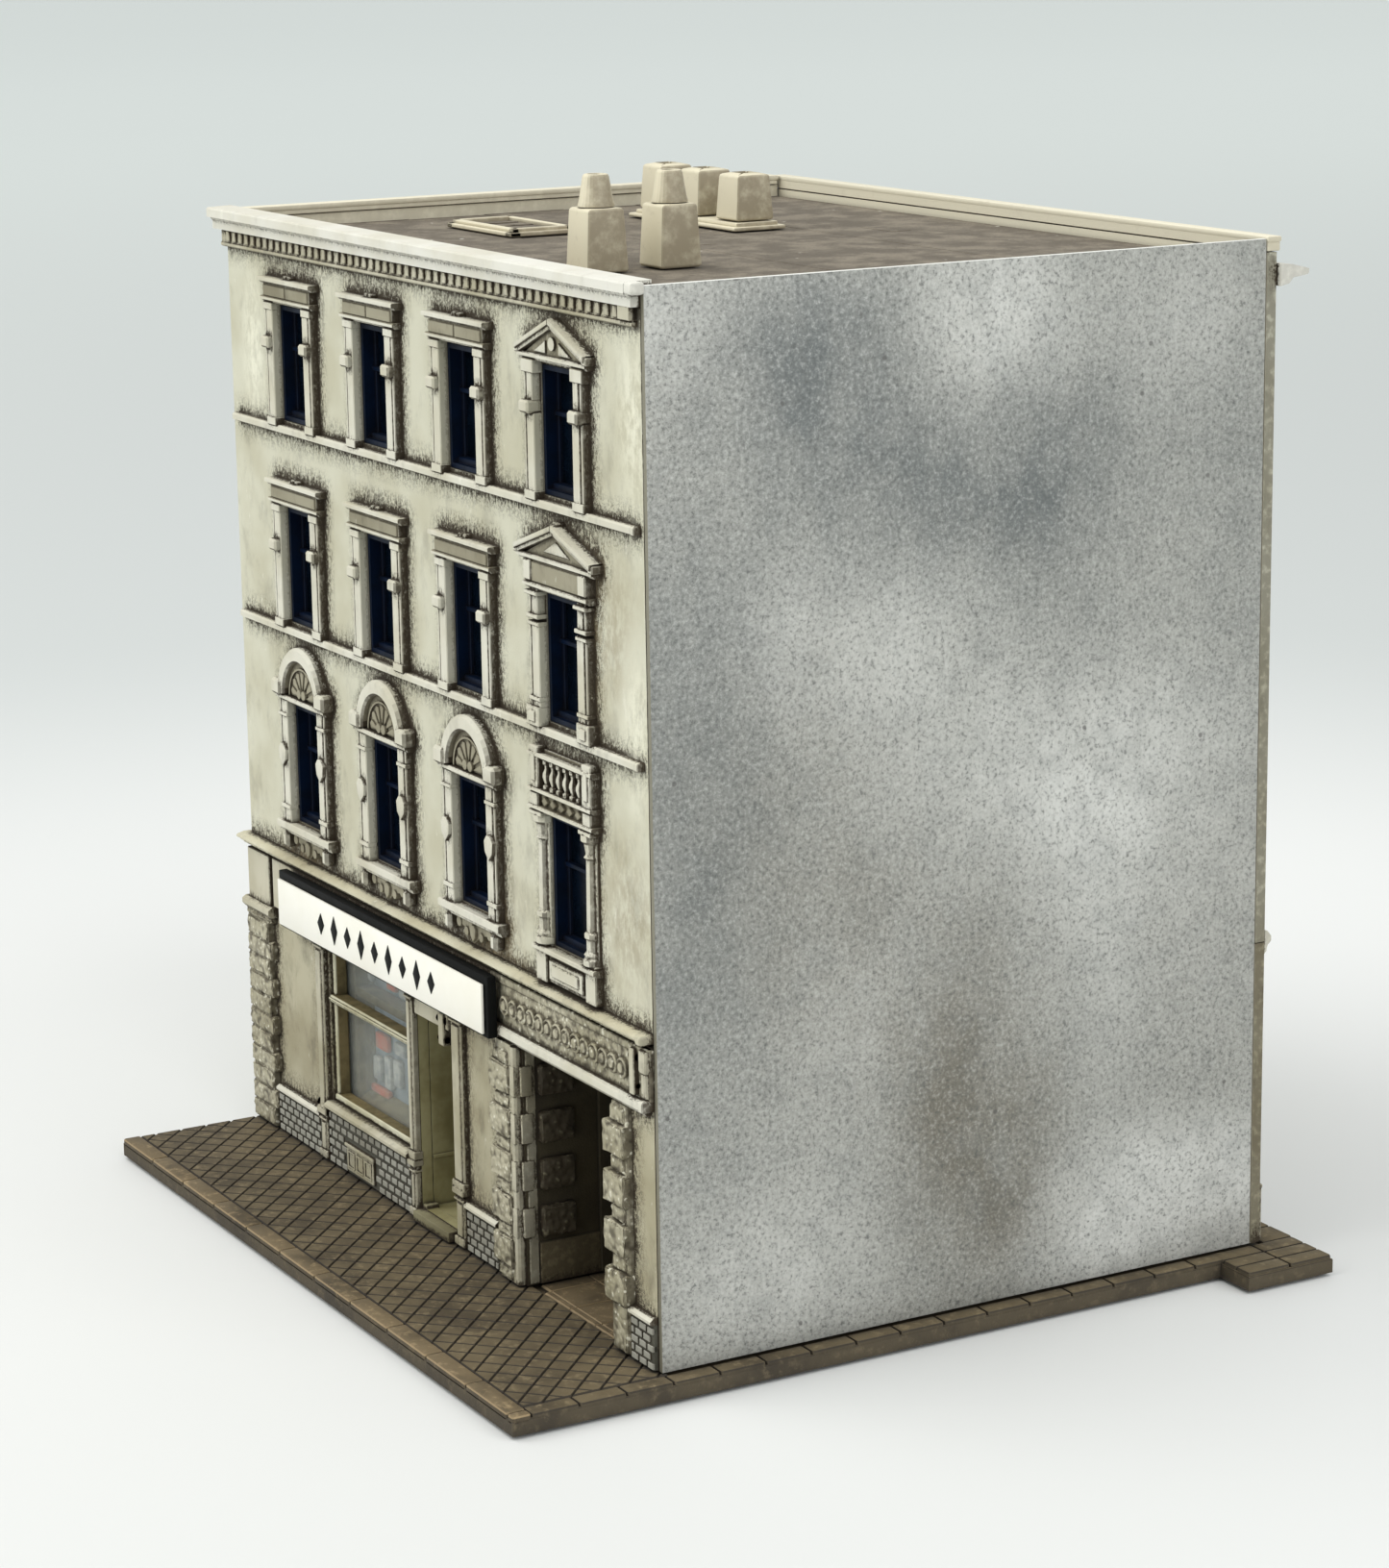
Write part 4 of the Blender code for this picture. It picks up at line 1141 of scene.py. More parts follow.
@dataclass
class FrontWindows:
    """The dark window mouldings in the street front, and the film behind them."""

    front: UpperFront
    rim: float = 0.45
    bar: float = 0.62

    def insert(self, hole: Opening) -> Piece:
        """Make one window: rim, sloping sill, transom bar and the dark pane behind."""
        node = f"window_insert_floor{hole.floor}_bay{hole.bay}"
        low, high = bench.box(node)
        bench.begin(f"window_floor{hole.floor}_bay{hole.bay}")
        bench.block(low, high)
        bench.pick(lambda at, normal: normal.y < -0.9)
        bench.inset(self.rim)
        bench.extrude(0, high.y - low.y - 0.3, 0)
        pane = high.y - 0.3
        bench.paint(1, lambda at, normal: normal.y < -0.9 and at.y > pane - 0.05)
        transom = low.z + self.bar * (high.z - low.z)
        bench.block(
            (low.x + 0.3, low.y + 0.95, transom - 0.2), (high.x - 0.3, pane + 0.1, transom + 0.2),
            0.05)
        bench.block(
            (low.x + 0.3, low.y + 0.6, low.z + 0.2), (high.x - 0.3, pane + 0.1, low.z + 0.95), 0.1)
        for side in (low.x + 0.3, high.x - 0.75):
            bench.block((side, low.y + 1.2, low.z + 0.3), (side + 0.45, pane + 0.1, high.z - 0.3), 0.05)
        return bench.end([NAVY, NIGHT], "window_navy", [node])

    def build(self) -> None:
        """Make a window for each floor, copy it along the bays, and dress the film."""
        for floor in self.front.floors:
            first = self.front.openings[floor, 1]
            model = self.insert(first)
            for bay in self.front.bays[1:]:
                hole = self.front.openings[floor, bay]
                bench.copy(
                    model, f"window_floor{floor}_bay{bay}", (hole.centre - first.centre, 0, 0),
                    "window_navy", [f"window_insert_floor{floor}_bay{bay}"])
            dress(f"front_film_floor{floor}", FILM)


def dress(node: str, finish: Finish) -> None:
    """Give a carried-over CAD node its finish."""
    piece = frame["nodes"][node]
    piece.data.materials.clear()
    piece.data.materials.append(finish.material())
    log.info("%s: dressed in %s", node, finish.name)


@dataclass
class GroundFront:
    """The shop front moulding: plaster, rock-faced pillars, brick plinths, trim and gate posts."""

    skin: float = 1.2
    brick: Flat = (1.55, 0.92)
    joint: float = 0.3
    course_first: float = 5.0
    course_pitch: float = 4.8
    course_height: float = 3.1
    courses: int = 4
    plinth_top: float = 4.6
    seed: int = 0

    def holes(self) -> list[Hole]:
        """Give left, right, low and high of the shop window, the door recess and the gateway."""
        low, high = bench.box("shop_window_frame")
        foot, top = bench.box("doorstep")
        left, right = bench.box("gateway_left_wall")[1], bench.box("gateway_right_wall")[0]
        return [(low.x - 0.1, high.x + 0.1, low.z - 0.1, high.z + 0.1),
                (foot.x - 0.1, top.x + 0.1, top.z + 0.1, 22.0), (left.x, right.x, -1.0, left.z)]

    def plaster(self) -> Piece:
        """Make the plaster wall with the openings of shop, door and gateway."""
        right = bench.box("right_party_wall")[1].x
        high = bench.box("ground_cornice")[0].z - 0.1
        bench.begin("shop_front_plaster")
        bench.wall((0, 0, 0.1), (right, self.skin, high), self.holes())
        for slot, (left, end, foot, top) in enumerate(self.holes(), 1):
            bench.paint(slot, lambda at, normal: abs(normal.y) < 0.5 and left - 0.1 < at.x < end + 0.1
                           and max(foot, 0.3) - 0.1 < at.z < top + 0.1)
        # The gateway's reveals take the passage's painted shade.
        return bench.end([GRIMY, OLIVE, DOOR_OLIVE, PASSAGE_SHADE], "ground_plaster", ["front_wall_ground"])

    def rock(self, low: Point, high: Point, rough: float = 0.14, cuts: int = 3) -> None:
        """Add one rock-faced stone: a bevelled block, divided and shaken a little."""
        self.seed += 1
        bench.block(low, high, 0.22)
        bpy.ops.mesh.subdivide(number_cuts=cuts)
        bpy.ops.transform.vertex_random(offset=rough * MM, uniform=0.0, normal=0.0, seed=self.seed)

    def quoins(self) -> Piece:
        """Make the rock-faced pillar at the left corner, with its ledge."""
        bench.begin("left_corner_pillar")
        bench.relief(-0.1, 5.2, 0.2, 24.3, 0.7)
        low, course = 0.2, 0
        while low < 23.5:
            top = min(low + 2.1, 24.2)
            reach = 6.0 if course % 2 else 5.2
            self.rock((-0.35, -0.85, low + 0.03), (reach, SUNK, top - 0.03))
            low, course = top, course + 1
        piece = bench.end([ROCK], "ground_plaster", smooth=50)
        bench.begin("left_pillar_cap")
        bench.outline([(SUNK, 24.1), (-0.8, 24.1), (-1.15, 24.5), (-1.15, 25.0), (-0.7, 25.3),
                       (SUNK, 25.3)], -0.7, 6.4, Axis.X)
        bench.relief(-0.1, 5.6, 25.2, 30.9, 0.55, 0.1)
        bench.end([GRIMY_TRIM], "ground_plaster")
        return piece

    def bricks(self, left: float, right: float, low: float, high: float,
               gap: Optional[Flat] = None) -> None:
        """Lay rows of bricks, each row shifted by half a brick, leaving a gap for a window."""
        pitch, rise = self.brick
        rows = round((high - low) / rise)
        for row in range(rows):
            foot = low + row * (high - low) / rows
            start = left - (row % 2) * pitch / 2
            while start < right - 0.3:
                edges = max(start, left), min(start + pitch - self.joint, right)
                hidden = gap and edges[1] > gap[0] and edges[0] < gap[1] and foot < 3.3
                if edges[1] - edges[0] > 0.3 and not hidden:
                    bench.relief(edges[0], edges[1], foot, foot + rise - self.joint, 0.58, 0.06)
                start += pitch

    def plinths(self) -> None:
        """Make the brick plinths with their mortar beds, and the basement window."""
        cellar = (24.0, 30.6)
        rooms = [(6.1, 17.2, self.plinth_top), (19.3, 39.6, 6.2), (52.5, 59.3, self.plinth_top),
                 (86.8, 90.9, self.plinth_top)]
        for number, (left, right, high) in enumerate(rooms, 1):
            bench.begin(f"brick_plinth_{number}")
            bench.relief(left, right, 0.15, high, 0.4, 0.03)
            bench.paint(1, lambda at, normal: True)
            self.bricks(left, right, 0.25, high - 0.1, cellar if number == 2 else None)
            bench.end([BRICK, MORTAR], "ground_plaster")
        bench.begin("plinth_ledges")
        for left, right, high in rooms:
            if high == self.plinth_top:
                bench.outline(
                    [(SUNK, high), (-0.6, high), (-0.85, high + 0.15), (-0.85, high + 0.4),
                    (-0.5, high + 0.65), (SUNK, high + 0.65)], left - 0.1, right + 0.1, Axis.X)
        bench.end([TRIM], "ground_plaster")
        bench.begin("basement_window")
        left, right = cellar
        bench.relief(left, right, 0.6, 3.3, 0.72, 0.06)
        panes = 3
        width = (right - left - 0.4) / panes
        for pane in range(panes):
            start = left + 0.4 + pane * width
            bench.relief(start, start + width - 0.4, 1.0, 2.9, 0.8, 0.04)
            bench.pick(
                lambda at, normal: normal.y < -0.9 and at.y < -0.79 and start < at.x < start + width)
            bench.inset(0.16)
            bench.extrude(0, 0.35, 0)
        bench.relief(left - 0.3, right + 0.3, 3.2, 3.6, 0.85, 0.08)
        bench.end([GRIMY_TRIM], "ground_plaster")

    def post(self, left: float, right: float, low: float, high: float) -> None:
        """Add a thin pilaster with a foot, a necking ring and a cap."""
        bench.relief(left, right, low, high, 0.6, 0.12)
        bench.relief(left + 0.35, right - 0.35, low + 1.0, high - 1.6, 0.75, 0.1)
        for foot, tall, grow in ((low, 0.9, 0.15), (high - 1.4, 0.35, 0.12), (high - 0.7, 0.7, 0.25)):
            bench.relief(left - grow, right + grow, foot, foot + tall, 0.7 + grow, 0.1)

    def scroll(self, x: float, z: float, tall: float, wide: float, stand: float) -> None:
        """Add a scrolled bracket: two coils joined by a curved back."""
        bench.block((x - wide * 0.35, -stand * 0.8, z), (x + wide * 0.35, SUNK, z + tall), 0.1)
        for height, size in ((z + tall * 0.82, wide * 0.5), (z + tall * 0.2, wide * 0.38)):
            bench.turn(
                [(x - wide / 2, -stand * 0.5 - size * 0.5, height),
                (x - wide / 2, -stand * 0.5, height), (x + wide / 2, -stand * 0.5, height),
                (x + wide / 2, -stand * 0.5 - size * 0.5, height)], (x, -stand * 0.5, height), Axis.X,
                math.tau, 10)

    def trim(self) -> None:
        """Make the shop front's pilasters, sills and lintels."""
        shop, door = self.holes()[:2]
        bench.begin("shop_front_trim")
        for post in ((17.2, 19.1, 5.2, 25.0), (17.3, 19.0, 0.3, 5.9), (39.6, 41.0, 6.4, 24.9),
                     (39.7, 40.9, 0.3, 6.4), (50.0, 52.3, 6.2, 25.0), (50.2, 52.1, 0.3, 6.4)):
            self.post(*post)
        for middle in (18.15, 51.15):
            self.scroll(middle, 5.6, 0.9, 1.9, 0.95)
        bench.outline([(SUNK, 6.1), (-0.8, 6.1), (-1.15, 6.4), (-1.15, 6.7), (-0.7, 7.0),
                       (SUNK, 7.0)], shop[0] - 0.2, shop[1] + 0.3, Axis.X)
        for low, stand in ((24.3, 0.6), (24.8, 0.9)):
            bench.relief(17.0, 52.6, low, low + 0.6, stand, 0.1)
        bench.relief(6.3, 59.2, 25.4, 30.9, 0.45, 0.1)
        bench.relief(door[0] + 0.1, door[1] - 0.1, door[3] + 0.1, 24.3, 0.35, 0.06)
        self.scroll(door[1] - 1.1, 20.6, 3.3, 1.7, 1.15)
        bench.relief(door[1] - 3.2, door[1] + 0.2, 22.3, 24.2, 0.7, 0.15)
        bench.end([GRIMY_TRIM], "ground_plaster")

    def gate_posts(self) -> None:
        """Make the rock-faced posts beside the gateway and the stones on its corners."""
        gate_left, gate_right = self.holes()[2][:2]
        bench.begin("gate_post_left")
        bench.relief(60.4, 63.6, 0.2, 24.5, 0.8)
        low = 0.3
        for course in range(11):
            top = low + (3.0 if course % 2 else 1.3)
            reach = (59.3, 63.4) if course % 2 else (60.2, 63.2)
            self.rock((reach[0], -0.95 - 0.15 * (course % 2), low), (reach[1], SUNK, min(top, 24.4)))
            low = top + 0.06
        bench.end([ROCK], "ground_plaster", smooth=50)
        bench.begin("gate_corner_bead")
        bench.turn([(63.9, -0.3, 0.2), (64.5, -0.3, 0.2), (64.5, -0.3, 24.4), (63.9, -0.3, 24.4)],
                   (63.9, -0.3, 0), Axis.Z, math.tau, 12)
        bench.relief(63.3, 63.8, 0.2, 24.4, 0.75, 0.12)
        bench.block((64.2, 0.25, 0.2), (gate_left + 0.12, 1.3, 24.4), 0.1)
        for course in range(self.courses):
            low = self.course_first + course * self.course_pitch
            bench.relief(63.4, 64.4, low, low + self.course_height, 0.95, 0.2, 2)
            bench.block(
                (64.3, -0.35, low + 0.1), (gate_left + 0.3, 0.9, low + self.course_height), 0.15, 2)
        bench.end([GRIMY_TRIM], "ground_plaster")
        bench.begin("gateway_corner_stones")
        for course in range(self.courses):
            low = self.course_first + course * self.course_pitch
            self.rock(
                (gate_left - 0.3, 1.5, low), (gate_left + 0.75, 5.2, low + self.course_height), 0.1)
        bench.end([DARK_ROCK], "passage_brown", smooth=50)
        bench.begin("gate_post_right")
        bench.block((gate_right + 0.15, -0.5, 0.2), (86.6, 1.4, 24.5), 0.15)
        for course in range(self.courses):
            low = self.course_first + course * self.course_pitch
            self.rock((gate_right - 0.75, -1.1, low), (86.7, 1.9, low + self.course_height), 0.13)
            self.rock((gate_right + 0.1, -0.7, low + self.course_height + 0.05),
                      (86.2, 1.0, min(low + self.course_pitch - 0.05, 24.4)), 0.1)
        self.rock((gate_right + 0.1, -0.75, 0.25), (86.3, 1.0, self.course_first - 0.05), 0.1)
        bench.end([ROCK], "ground_plaster", smooth=50)

    def gate_head(self) -> None:
        """Make the ledge over the gateway, and the frieze with its row of medallions."""
        bench.begin("gate_lintel")
        bench.outline([(SUNK, 24.6), (-0.5, 24.6), (-0.8, 25.1), (-1.15, 25.2), (-1.15, 25.8),
                       (-0.8, 26.05), (SUNK, 26.05)], 59.2, 90.4, Axis.X)
        bench.relief(90.1, 91.0, 25.0, 26.2, 1.3, 0.3, 3)
        bench.end([TRIM], "ground_plaster")
        bench.begin("gate_frieze")
        bench.relief(59.3, 91.0, 26.0, 30.95, 0.45, 0.08)
        bench.relief(59.3, 90.9, 30.2, 30.95, 0.62, 0.08)
        count = 14
        pitch = (87.2 - 61.6) / count
        for medal in range(count):
            x = 61.6 + (medal + 0.5) * pitch
            dome = [
                (x, -1.0, 28.2), (x + 0.45, -0.95, 28.2), (x + 0.62, -0.7, 28.2),
                (x + 0.8, -0.9, 28.2), (x + 0.98, -0.8, 28.2), (x + 1.02, SUNK, 28.2), (x, SUNK, 28.2)]
            bench.turn(dome, (x, 0, 28.2), Axis.Y, math.tau, 10)
        bench.end([ROCK], "ground_plaster", smooth=50)
        bench.begin("frieze_bracket")
        self.scroll(88.6, 26.3, 4.4, 1.3, 1.3)
        bench.relief(89.6, 91.0, 28.6, 30.9, 0.9, 0.3, 3)
        bench.relief(89.8, 90.9, 26.2, 28.7, 0.7, 0.15)
        bench.end([GRIMY_TRIM], "ground_plaster")

    def build(self) -> None:
        """Make the whole shop front moulding."""
        self.plaster()
        self.quoins()
        self.plinths()
        self.trim()
        self.gate_posts()
        self.gate_head()


@dataclass
class Cornices:
    """The ledge over the shop front, the roof cornice, and their plainer fellows at the rear."""

    dentil_first: float = 1.4
    dentil_pitch: float = 1.62
    dentil_width: float = 0.85
    dentils: int = 54

    def ground(self) -> None:
        """Make the broad cream ledge over the shop front."""
        low, high = bench.box("ground_cornice")
        bench.begin("shop_ledge")
        profile = [
            (high.y, low.z), (-0.55, low.z), (-0.6, low.z + 0.2), (-0.95, low.z + 0.35),
            (-1.0, low.z + 0.55), (low.y, low.z + 0.7), (low.y, high.z - 0.3),
            (low.y + 0.12, high.z - 0.2), (-0.5, high.z), (high.y, high.z)]
        bench.outline(profile, low.x, high.x - 0.7, Axis.X)
        bench.block(
            (high.x - 0.9, low.y - 0.1, low.z + 0.25), (high.x + 0.1, high.y, high.z + 0.02), 0.3, 3)
        bench.end([LEDGE], "cornice_white", ["ground_cornice"])

    def roof(self) -> None:
        """Make the roof cornice: crown, fascia, dentils and the bead below them."""
        low, high = bench.box("roof_cornice")
        bench.begin("roof_cornice_crown")
        profile = [
            (1.2, 98.1), (-0.95, 98.1), (-0.95, 98.95), (-1.1, 99.1), (-1.2, 99.25), (low.y, 99.35),
            (low.y, high.z - 0.25), (low.y + 0.12, high.z - 0.08), (1.2, high.z)]
        bench.outline(profile, low.x, 91.0, Axis.X)
        bench.block((90.8, low.y, 99.25), (high.x, -0.15, high.z - 0.02), 0.28, 3)
        bench.end([CROWN], "cornice_white", ["roof_cornice"])
        bench.begin("roof_cornice_dentils")
        bench.block((-0.3, -0.52, 96.7), (90.6, -0.05, 98.1), 0.04)
        bench.outline([(-0.05, 96.3), (-0.42, 96.3), (-0.62, 96.45), (-0.62, 96.7), (-0.45, 96.85),
                       (-0.05, 96.85)], -0.3, 90.6, Axis.X)
        for number in range(self.dentils):
            left = self.dentil_first + number * self.dentil_pitch
            bench.block((left, -0.76, 96.95), (left + self.dentil_width, -0.1, 98.08), 0.08)
        bench.end([GRIMY_TRIM], "cornice_white")
        bench.begin("roof_cornice_end")
        bench.block((88.5, -0.92, 96.9), (90.6, -0.05, 99.15), 0.06)
        bench.end([GRIMY_TRIM], "cornice_white")

    def rear(self) -> None:
        """Make the moulded rear cornice and the rear ledge."""
        for node, name in (("rear_cornice", "rear_roof_cornice"), ("rear_ledge", "rear_string_ledge")):
            low, high = bench.box(node)
            tall, deep = high.z - low.z, high.y - low.y
            bench.begin(name)
            profile = [
                (low.y, low.z), (low.y + deep * 0.3, low.z + tall * 0.1),
                (low.y + deep * 0.45, low.z + tall * 0.35), (high.y - 0.15, low.z + tall * 0.45),
                (high.y, low.z + tall * 0.52), (high.y, low.z + tall * 0.72),
                (low.y + deep * 0.4, high.z - 0.1), (low.y, high.z)]
            bench.outline(profile, low.x, high.x, Axis.X)
            bench.end([CROWN], "cornice_white", [node])

    def build(self) -> None:
        """Make all the ledges that run along the building."""
        self.ground()
        self.roof()
        self.rear()


@dataclass
class Pavement:
    """The base: kerb, diagonal paving squares, gateway slabs, side rim and the rear slab."""

    square: float = 2.1
    groove: float = 0.14
    depth: float = 0.22
    kerb: float = 2.0
    kerb_pitch: float = 8.45
    slab: float = 5.2

    def plate(self) -> None:
        """Make the dark plate that carries the paving."""
        low, high = bench.box("base_plate")
        rim = bench.box("right_cover_sheet")[1].x + 2.0
        bench.begin("base_body")
        outline = [(low.x, low.y), (rim, low.y), (rim, 62.0), (high.x, 62.0),
                   (high.x, high.y), (low.x, high.y)]
        bench.outline(outline, low.z, -0.45, Axis.Z, soft=0.12)
        bench.end([SETTS], "pavement", ["base_plate"])

    def field(self, name: str, cell: float, turn: float, low: Flat, high: Flat, finish: Finish,
              start: Flat) -> None:
        """Pave an area: a grid is cut to the area, and each cell raised with sloping sides.

        Args:
            name: The piece's name.
            cell: The grid's pitch.
            turn: The grid's turn about Z, in radians.
            low: The area's lowest X and Y.
            high: Its highest X and Y.
            finish: The finish.
            start: A corner of the grid's cells.
        """
        reach = math.hypot(high[0] - low[0], high[1] - low[1])
        count = 2 * math.ceil(reach / cell)
        bench.begin(name)
        bpy.ops.mesh.primitive_grid_add(
            x_subdivisions=count, y_subdivisions=count, size=count * cell * MM,
            location=bench.at(*start, -self.depth), rotation=(0, 0, turn))
        for place, normal in (((low[0], 0, 0), (-1, 0, 0)), ((high[0], 0, 0), (1, 0, 0)),
                              ((0, low[1], 0), (0, -1, 0)), ((0, high[1], 0), (0, 1, 0))):
            bench.cut(place, normal, outer=True)
        least = 0.12 * cell * cell * MM * MM
        bpy.ops.mesh.select_all(action="DESELECT")
        bpy.ops.mesh.select_mode(type="FACE")
        mesh = bmesh.from_edit_mesh(bench.current.data)
        for face in mesh.faces:
            face.select_set(face.calc_area() < least)
        bmesh.update_edit_mesh(bench.current.data)
        bpy.ops.mesh.delete(type="FACE")
        bpy.ops.mesh.select_all(action="SELECT")
        bench.extrude(0, 0, -0.3)
        bpy.ops.mesh.select_all(action="SELECT")
        bpy.ops.mesh.normals_make_consistent(inside=False)
        bench.pick(lambda at, normal: normal.z > 0.9)
        bench.inset(self.groove, self.depth - 0.03, each=True)
        bench.end([finish], "pavement", smooth=15)

    def stones(self, name: str, places: Iterable[tuple[Point, Point]], finish: Finish) -> None:
        """Lay a row of stones with rounded edges."""
        bench.begin(name)
        for low, high in places:
            bench.block(low, high, 0.22, 2)
        bench.end([finish], "pavement")

    def build(self) -> None:
        """Make the base."""
        first, last = bench.box("base_plate")
        sheet = bench.box("right_cover_sheet")[1].x
        rim = sheet + 2.0
        front, back = first.y, last.y
        self.plate()
        self.field("paving_squares", self.square, math.pi / 4, (first.x + 0.1, front + self.kerb),
                   (sheet, 0.6), SETTS, (0.0, -0.9))
        gate_left = bench.box("gateway_left_wall")[1].x
        gate_right = bench.box("gateway_right_wall")[0].x
        self.field("gateway_slabs", self.slab, 0.0, (gate_left, 0.7), (gate_right, back - 4.2), KERB,
                   (71.9, 1.4))
        kerbs, count = [], math.ceil((rim - first.x) / self.kerb_pitch)
        for stone in range(count):
            left = first.x + stone * self.kerb_pitch
            right = min(left + self.kerb_pitch - 0.1, rim)
            kerbs.append(((left, front, -0.9), (right, front + self.kerb - 0.08, 0.02)))
        self.stones("kerb_stones", kerbs, KERB)
        side, pitch = [], 4.9
        place = front + self.kerb
        while place < back - 0.5:
            end = min(place + pitch - 0.12, back)
            reach = last.x if place > 61.5 else rim
            side.append(((sheet + 0.1, place, -0.8), (reach, end, -0.05)))
            place += pitch
        self.stones("side_rim_stones", [item for item in side if item[0][1] < 60], SETTS)
        slab, wide, deep = [], (last.x - sheet - 0.1) / 3, (back - 62.1) / 2
        for column in range(3):
            left = sheet + 0.1 + column * wide
            for row in range(2):
                low = 62.1 + row * deep
                slab.append(((left, low, -0.8), (left + wide - 0.12, low + deep - 0.12, -0.02)))
        self.stones("rear_corner_slab", slab, SETTS)
        rear, left = [], first.x + 0.05
        while left < sheet:
            right = min(left + 5.2 - 0.12, sheet)
            rear.append(((left, 68.7, -0.8), (right, back, -0.02)))
            left += 5.2
        self.stones("rear_path_stones", rear, SETTS)


@dataclass
class CoverSheet:
    """The painted card sheet on the right wall, slightly proud at its top edge."""

    def build(self) -> None:
        """Make the sheet with softened edges and paint it."""
        bench.begin("cover_sheet")
        bench.block(*bench.box("right_cover_sheet"), 0.07, 2)
        corner = tuple(bench.corner)
        bench.end([SilverPaint("silver_card", corner=corner)], "silver_card", ["right_cover_sheet"])


@dataclass
class Shop:
    """Shop window, the goods behind it, the door recess, the door and the doorstep."""

    def window(self) -> None:
        """Make the shop window's frame: posts, transom, sill and inner beads."""
        low, high = bench.box("shop_window_frame")
        transom = 18.4
        bench.begin("shop_window")
        for left, right in ((low.x, low.x + 0.8), (high.x - 0.8, high.x)):
            bench.block((left, low.y, low.z), (right, high.y, high.z), 0.1)
        bench.block((low.x, low.y - 0.2, low.z), (high.x, high.y, low.z + 0.7), 0.12)
        bench.block((low.x, low.y, high.z - 0.7), (high.x, high.y, high.z), 0.1)
        bench.block((low.x, low.y - 0.45, transom - 0.45), (high.x, high.y, transom + 0.35), 0.15)
        bench.block((low.x, low.y - 0.6, transom - 0.1), (high.x, high.y, transom + 0.1), 0.08)
        bench.paint(1, lambda at, normal: low.x + 0.5 < at.x < high.x - 0.5 and at.y > low.y + 0.3
                       and low.z + 0.5 < at.z < high.z - 0.5 and normal.y > -0.5)
        bench.end([OLIVE, SHOP_BROWN], "frame_olive", ["shop_window_frame"])
        dress("shop_window_glass", GLASS)

    def display(self) -> None:
        """Make the printed card with the shop's goods as soft blocks of colour."""
        low, high = bench.box("shop_display_card")
        bench.begin("shop_display")
        bench.block(low, high, 0.05)
        bench.end([BLUE_GREY], "printed_card", ["shop_display_card"])
        bench.begin("shop_floor")
        bench.block((low.x, 2.2, low.z - 0.2), (high.x, low.y - 0.1, low.z + 0.3), 0.08)
        bench.outline([(2.2, low.z + 0.2), (low.y - 0.1, low.z + 0.2), (low.y - 0.1, low.z + 1.1)],
                      low.x, high.x, Axis.X)
        bench.block((low.x - 0.1, 2.2, low.z), (low.x + 1.4, low.y + 0.2, high.z), 0.08)
        bench.block((low.x, 2.3, 18.6), (high.x, low.y - 0.1, 19.6), 0.08)
        bench.end([SHOP_BROWN], "printed_card")
        shelves = [
            ("red_shelf", WARM_RED, [(20.2, 7.2, 5.2, 1.5), (24.6, 6.2, 4.4, 1.3)]),
            ("poster_blocks", WARM_RED, [(22.4, 13.0, 3.0, 1.8), (25.6, 20.2, 2.2, 1.1)]),
            ("pale_goods", PALE_GREY, [(21.6, 9.4, 1.8, 2.6), (24.4, 9.0, 1.6, 3.6),
            (26.6, 9.8, 1.7, 3.0), (27.0, 13.4, 2.4, 1.4), (18.6, 20.0, 3.4, 2.0),
            (28.6, 20.0, 2.4, 1.8)])]
        for name, finish, blocks in shelves:
            bench.begin(name)
            for left, foot, wide, tall in blocks:
                bench.block(
                    (left, low.y - 0.7, foot), (left + wide, low.y - 0.05, foot + tall), 0.25, 2)
            bench.end([finish], "printed_card")

    def doorway(self) -> None:
        """Make the lined door recess, the panelled door and the step."""
        low, high = bench.box("door_lining")
        tread, nose = bench.box("doorstep")
        bench.begin("door_recess")
        for start, end in ((low, (tread.x - 0.1, high.y, high.z)), ((nose.x + 0.1, low.y, low.z), high),
                           ((low.x, low.y, 22.0), high), (low, (high.x, high.y, 1.25))):
            bench.block(start, end, 0.04)
        for left, right in ((tread.x - 0.15, tread.x + 0.15), (nose.x - 0.1, nose.x + 0.15)):
            bench.block((left, low.y, 6.3), (right, high.y, 6.7), 0.06)
        bench.end([DOOR_OLIVE], "door_olive", ["door_lining"])
        low, high = bench.box("shop_door")
        bench.begin("panelled_door")
        bench.block((low.x, low.y + 0.2, low.z), high, 0.04)
        middle = (low.x + high.x) / 2
        for left, right in ((low.x + 1.2, middle - 0.3), (middle + 0.3, high.x - 1.2)):
            for foot, top in ((2.4, 8.2), (9.2, 20.2)):
                bench.block((left, low.y, foot), (right, high.y - 0.1, top), 0.1)
                bench.pick(lambda at, normal: normal.y < -0.9 and at.y < low.y + 0.02
                           and left < at.x < right and foot < at.z < top)
                bench.inset(0.35)
                bench.extrude(0, 0.35, 0)
        bench.turn(
            [(middle - 0.2, low.y - 0.35, 9.0), (middle + 0.1, low.y - 0.35, 9.0),
            (middle + 0.1, low.y + 0.1, 9.0), (middle - 0.2, low.y + 0.1, 9.0)],
            (middle - 0.2, 0, 9.0), Axis.Y, math.tau, 10)
        bench.end([WOOD], "door_wood", ["shop_door"])
        bench.begin("door_step_stone")
        bench.block(tread, (nose.x, nose.y + 1.0, nose.z), 0.12, 2)
        bench.block((tread.x, -0.05, tread.z), (tread.x + 0.9, 1.4, nose.z + 0.5), 0.12, 2)
        bench.end([STEP], "pavement", ["doorstep"])

    def build(self) -> None:
        """Make the shop."""
        self.window()
        self.display()
        self.doorway()


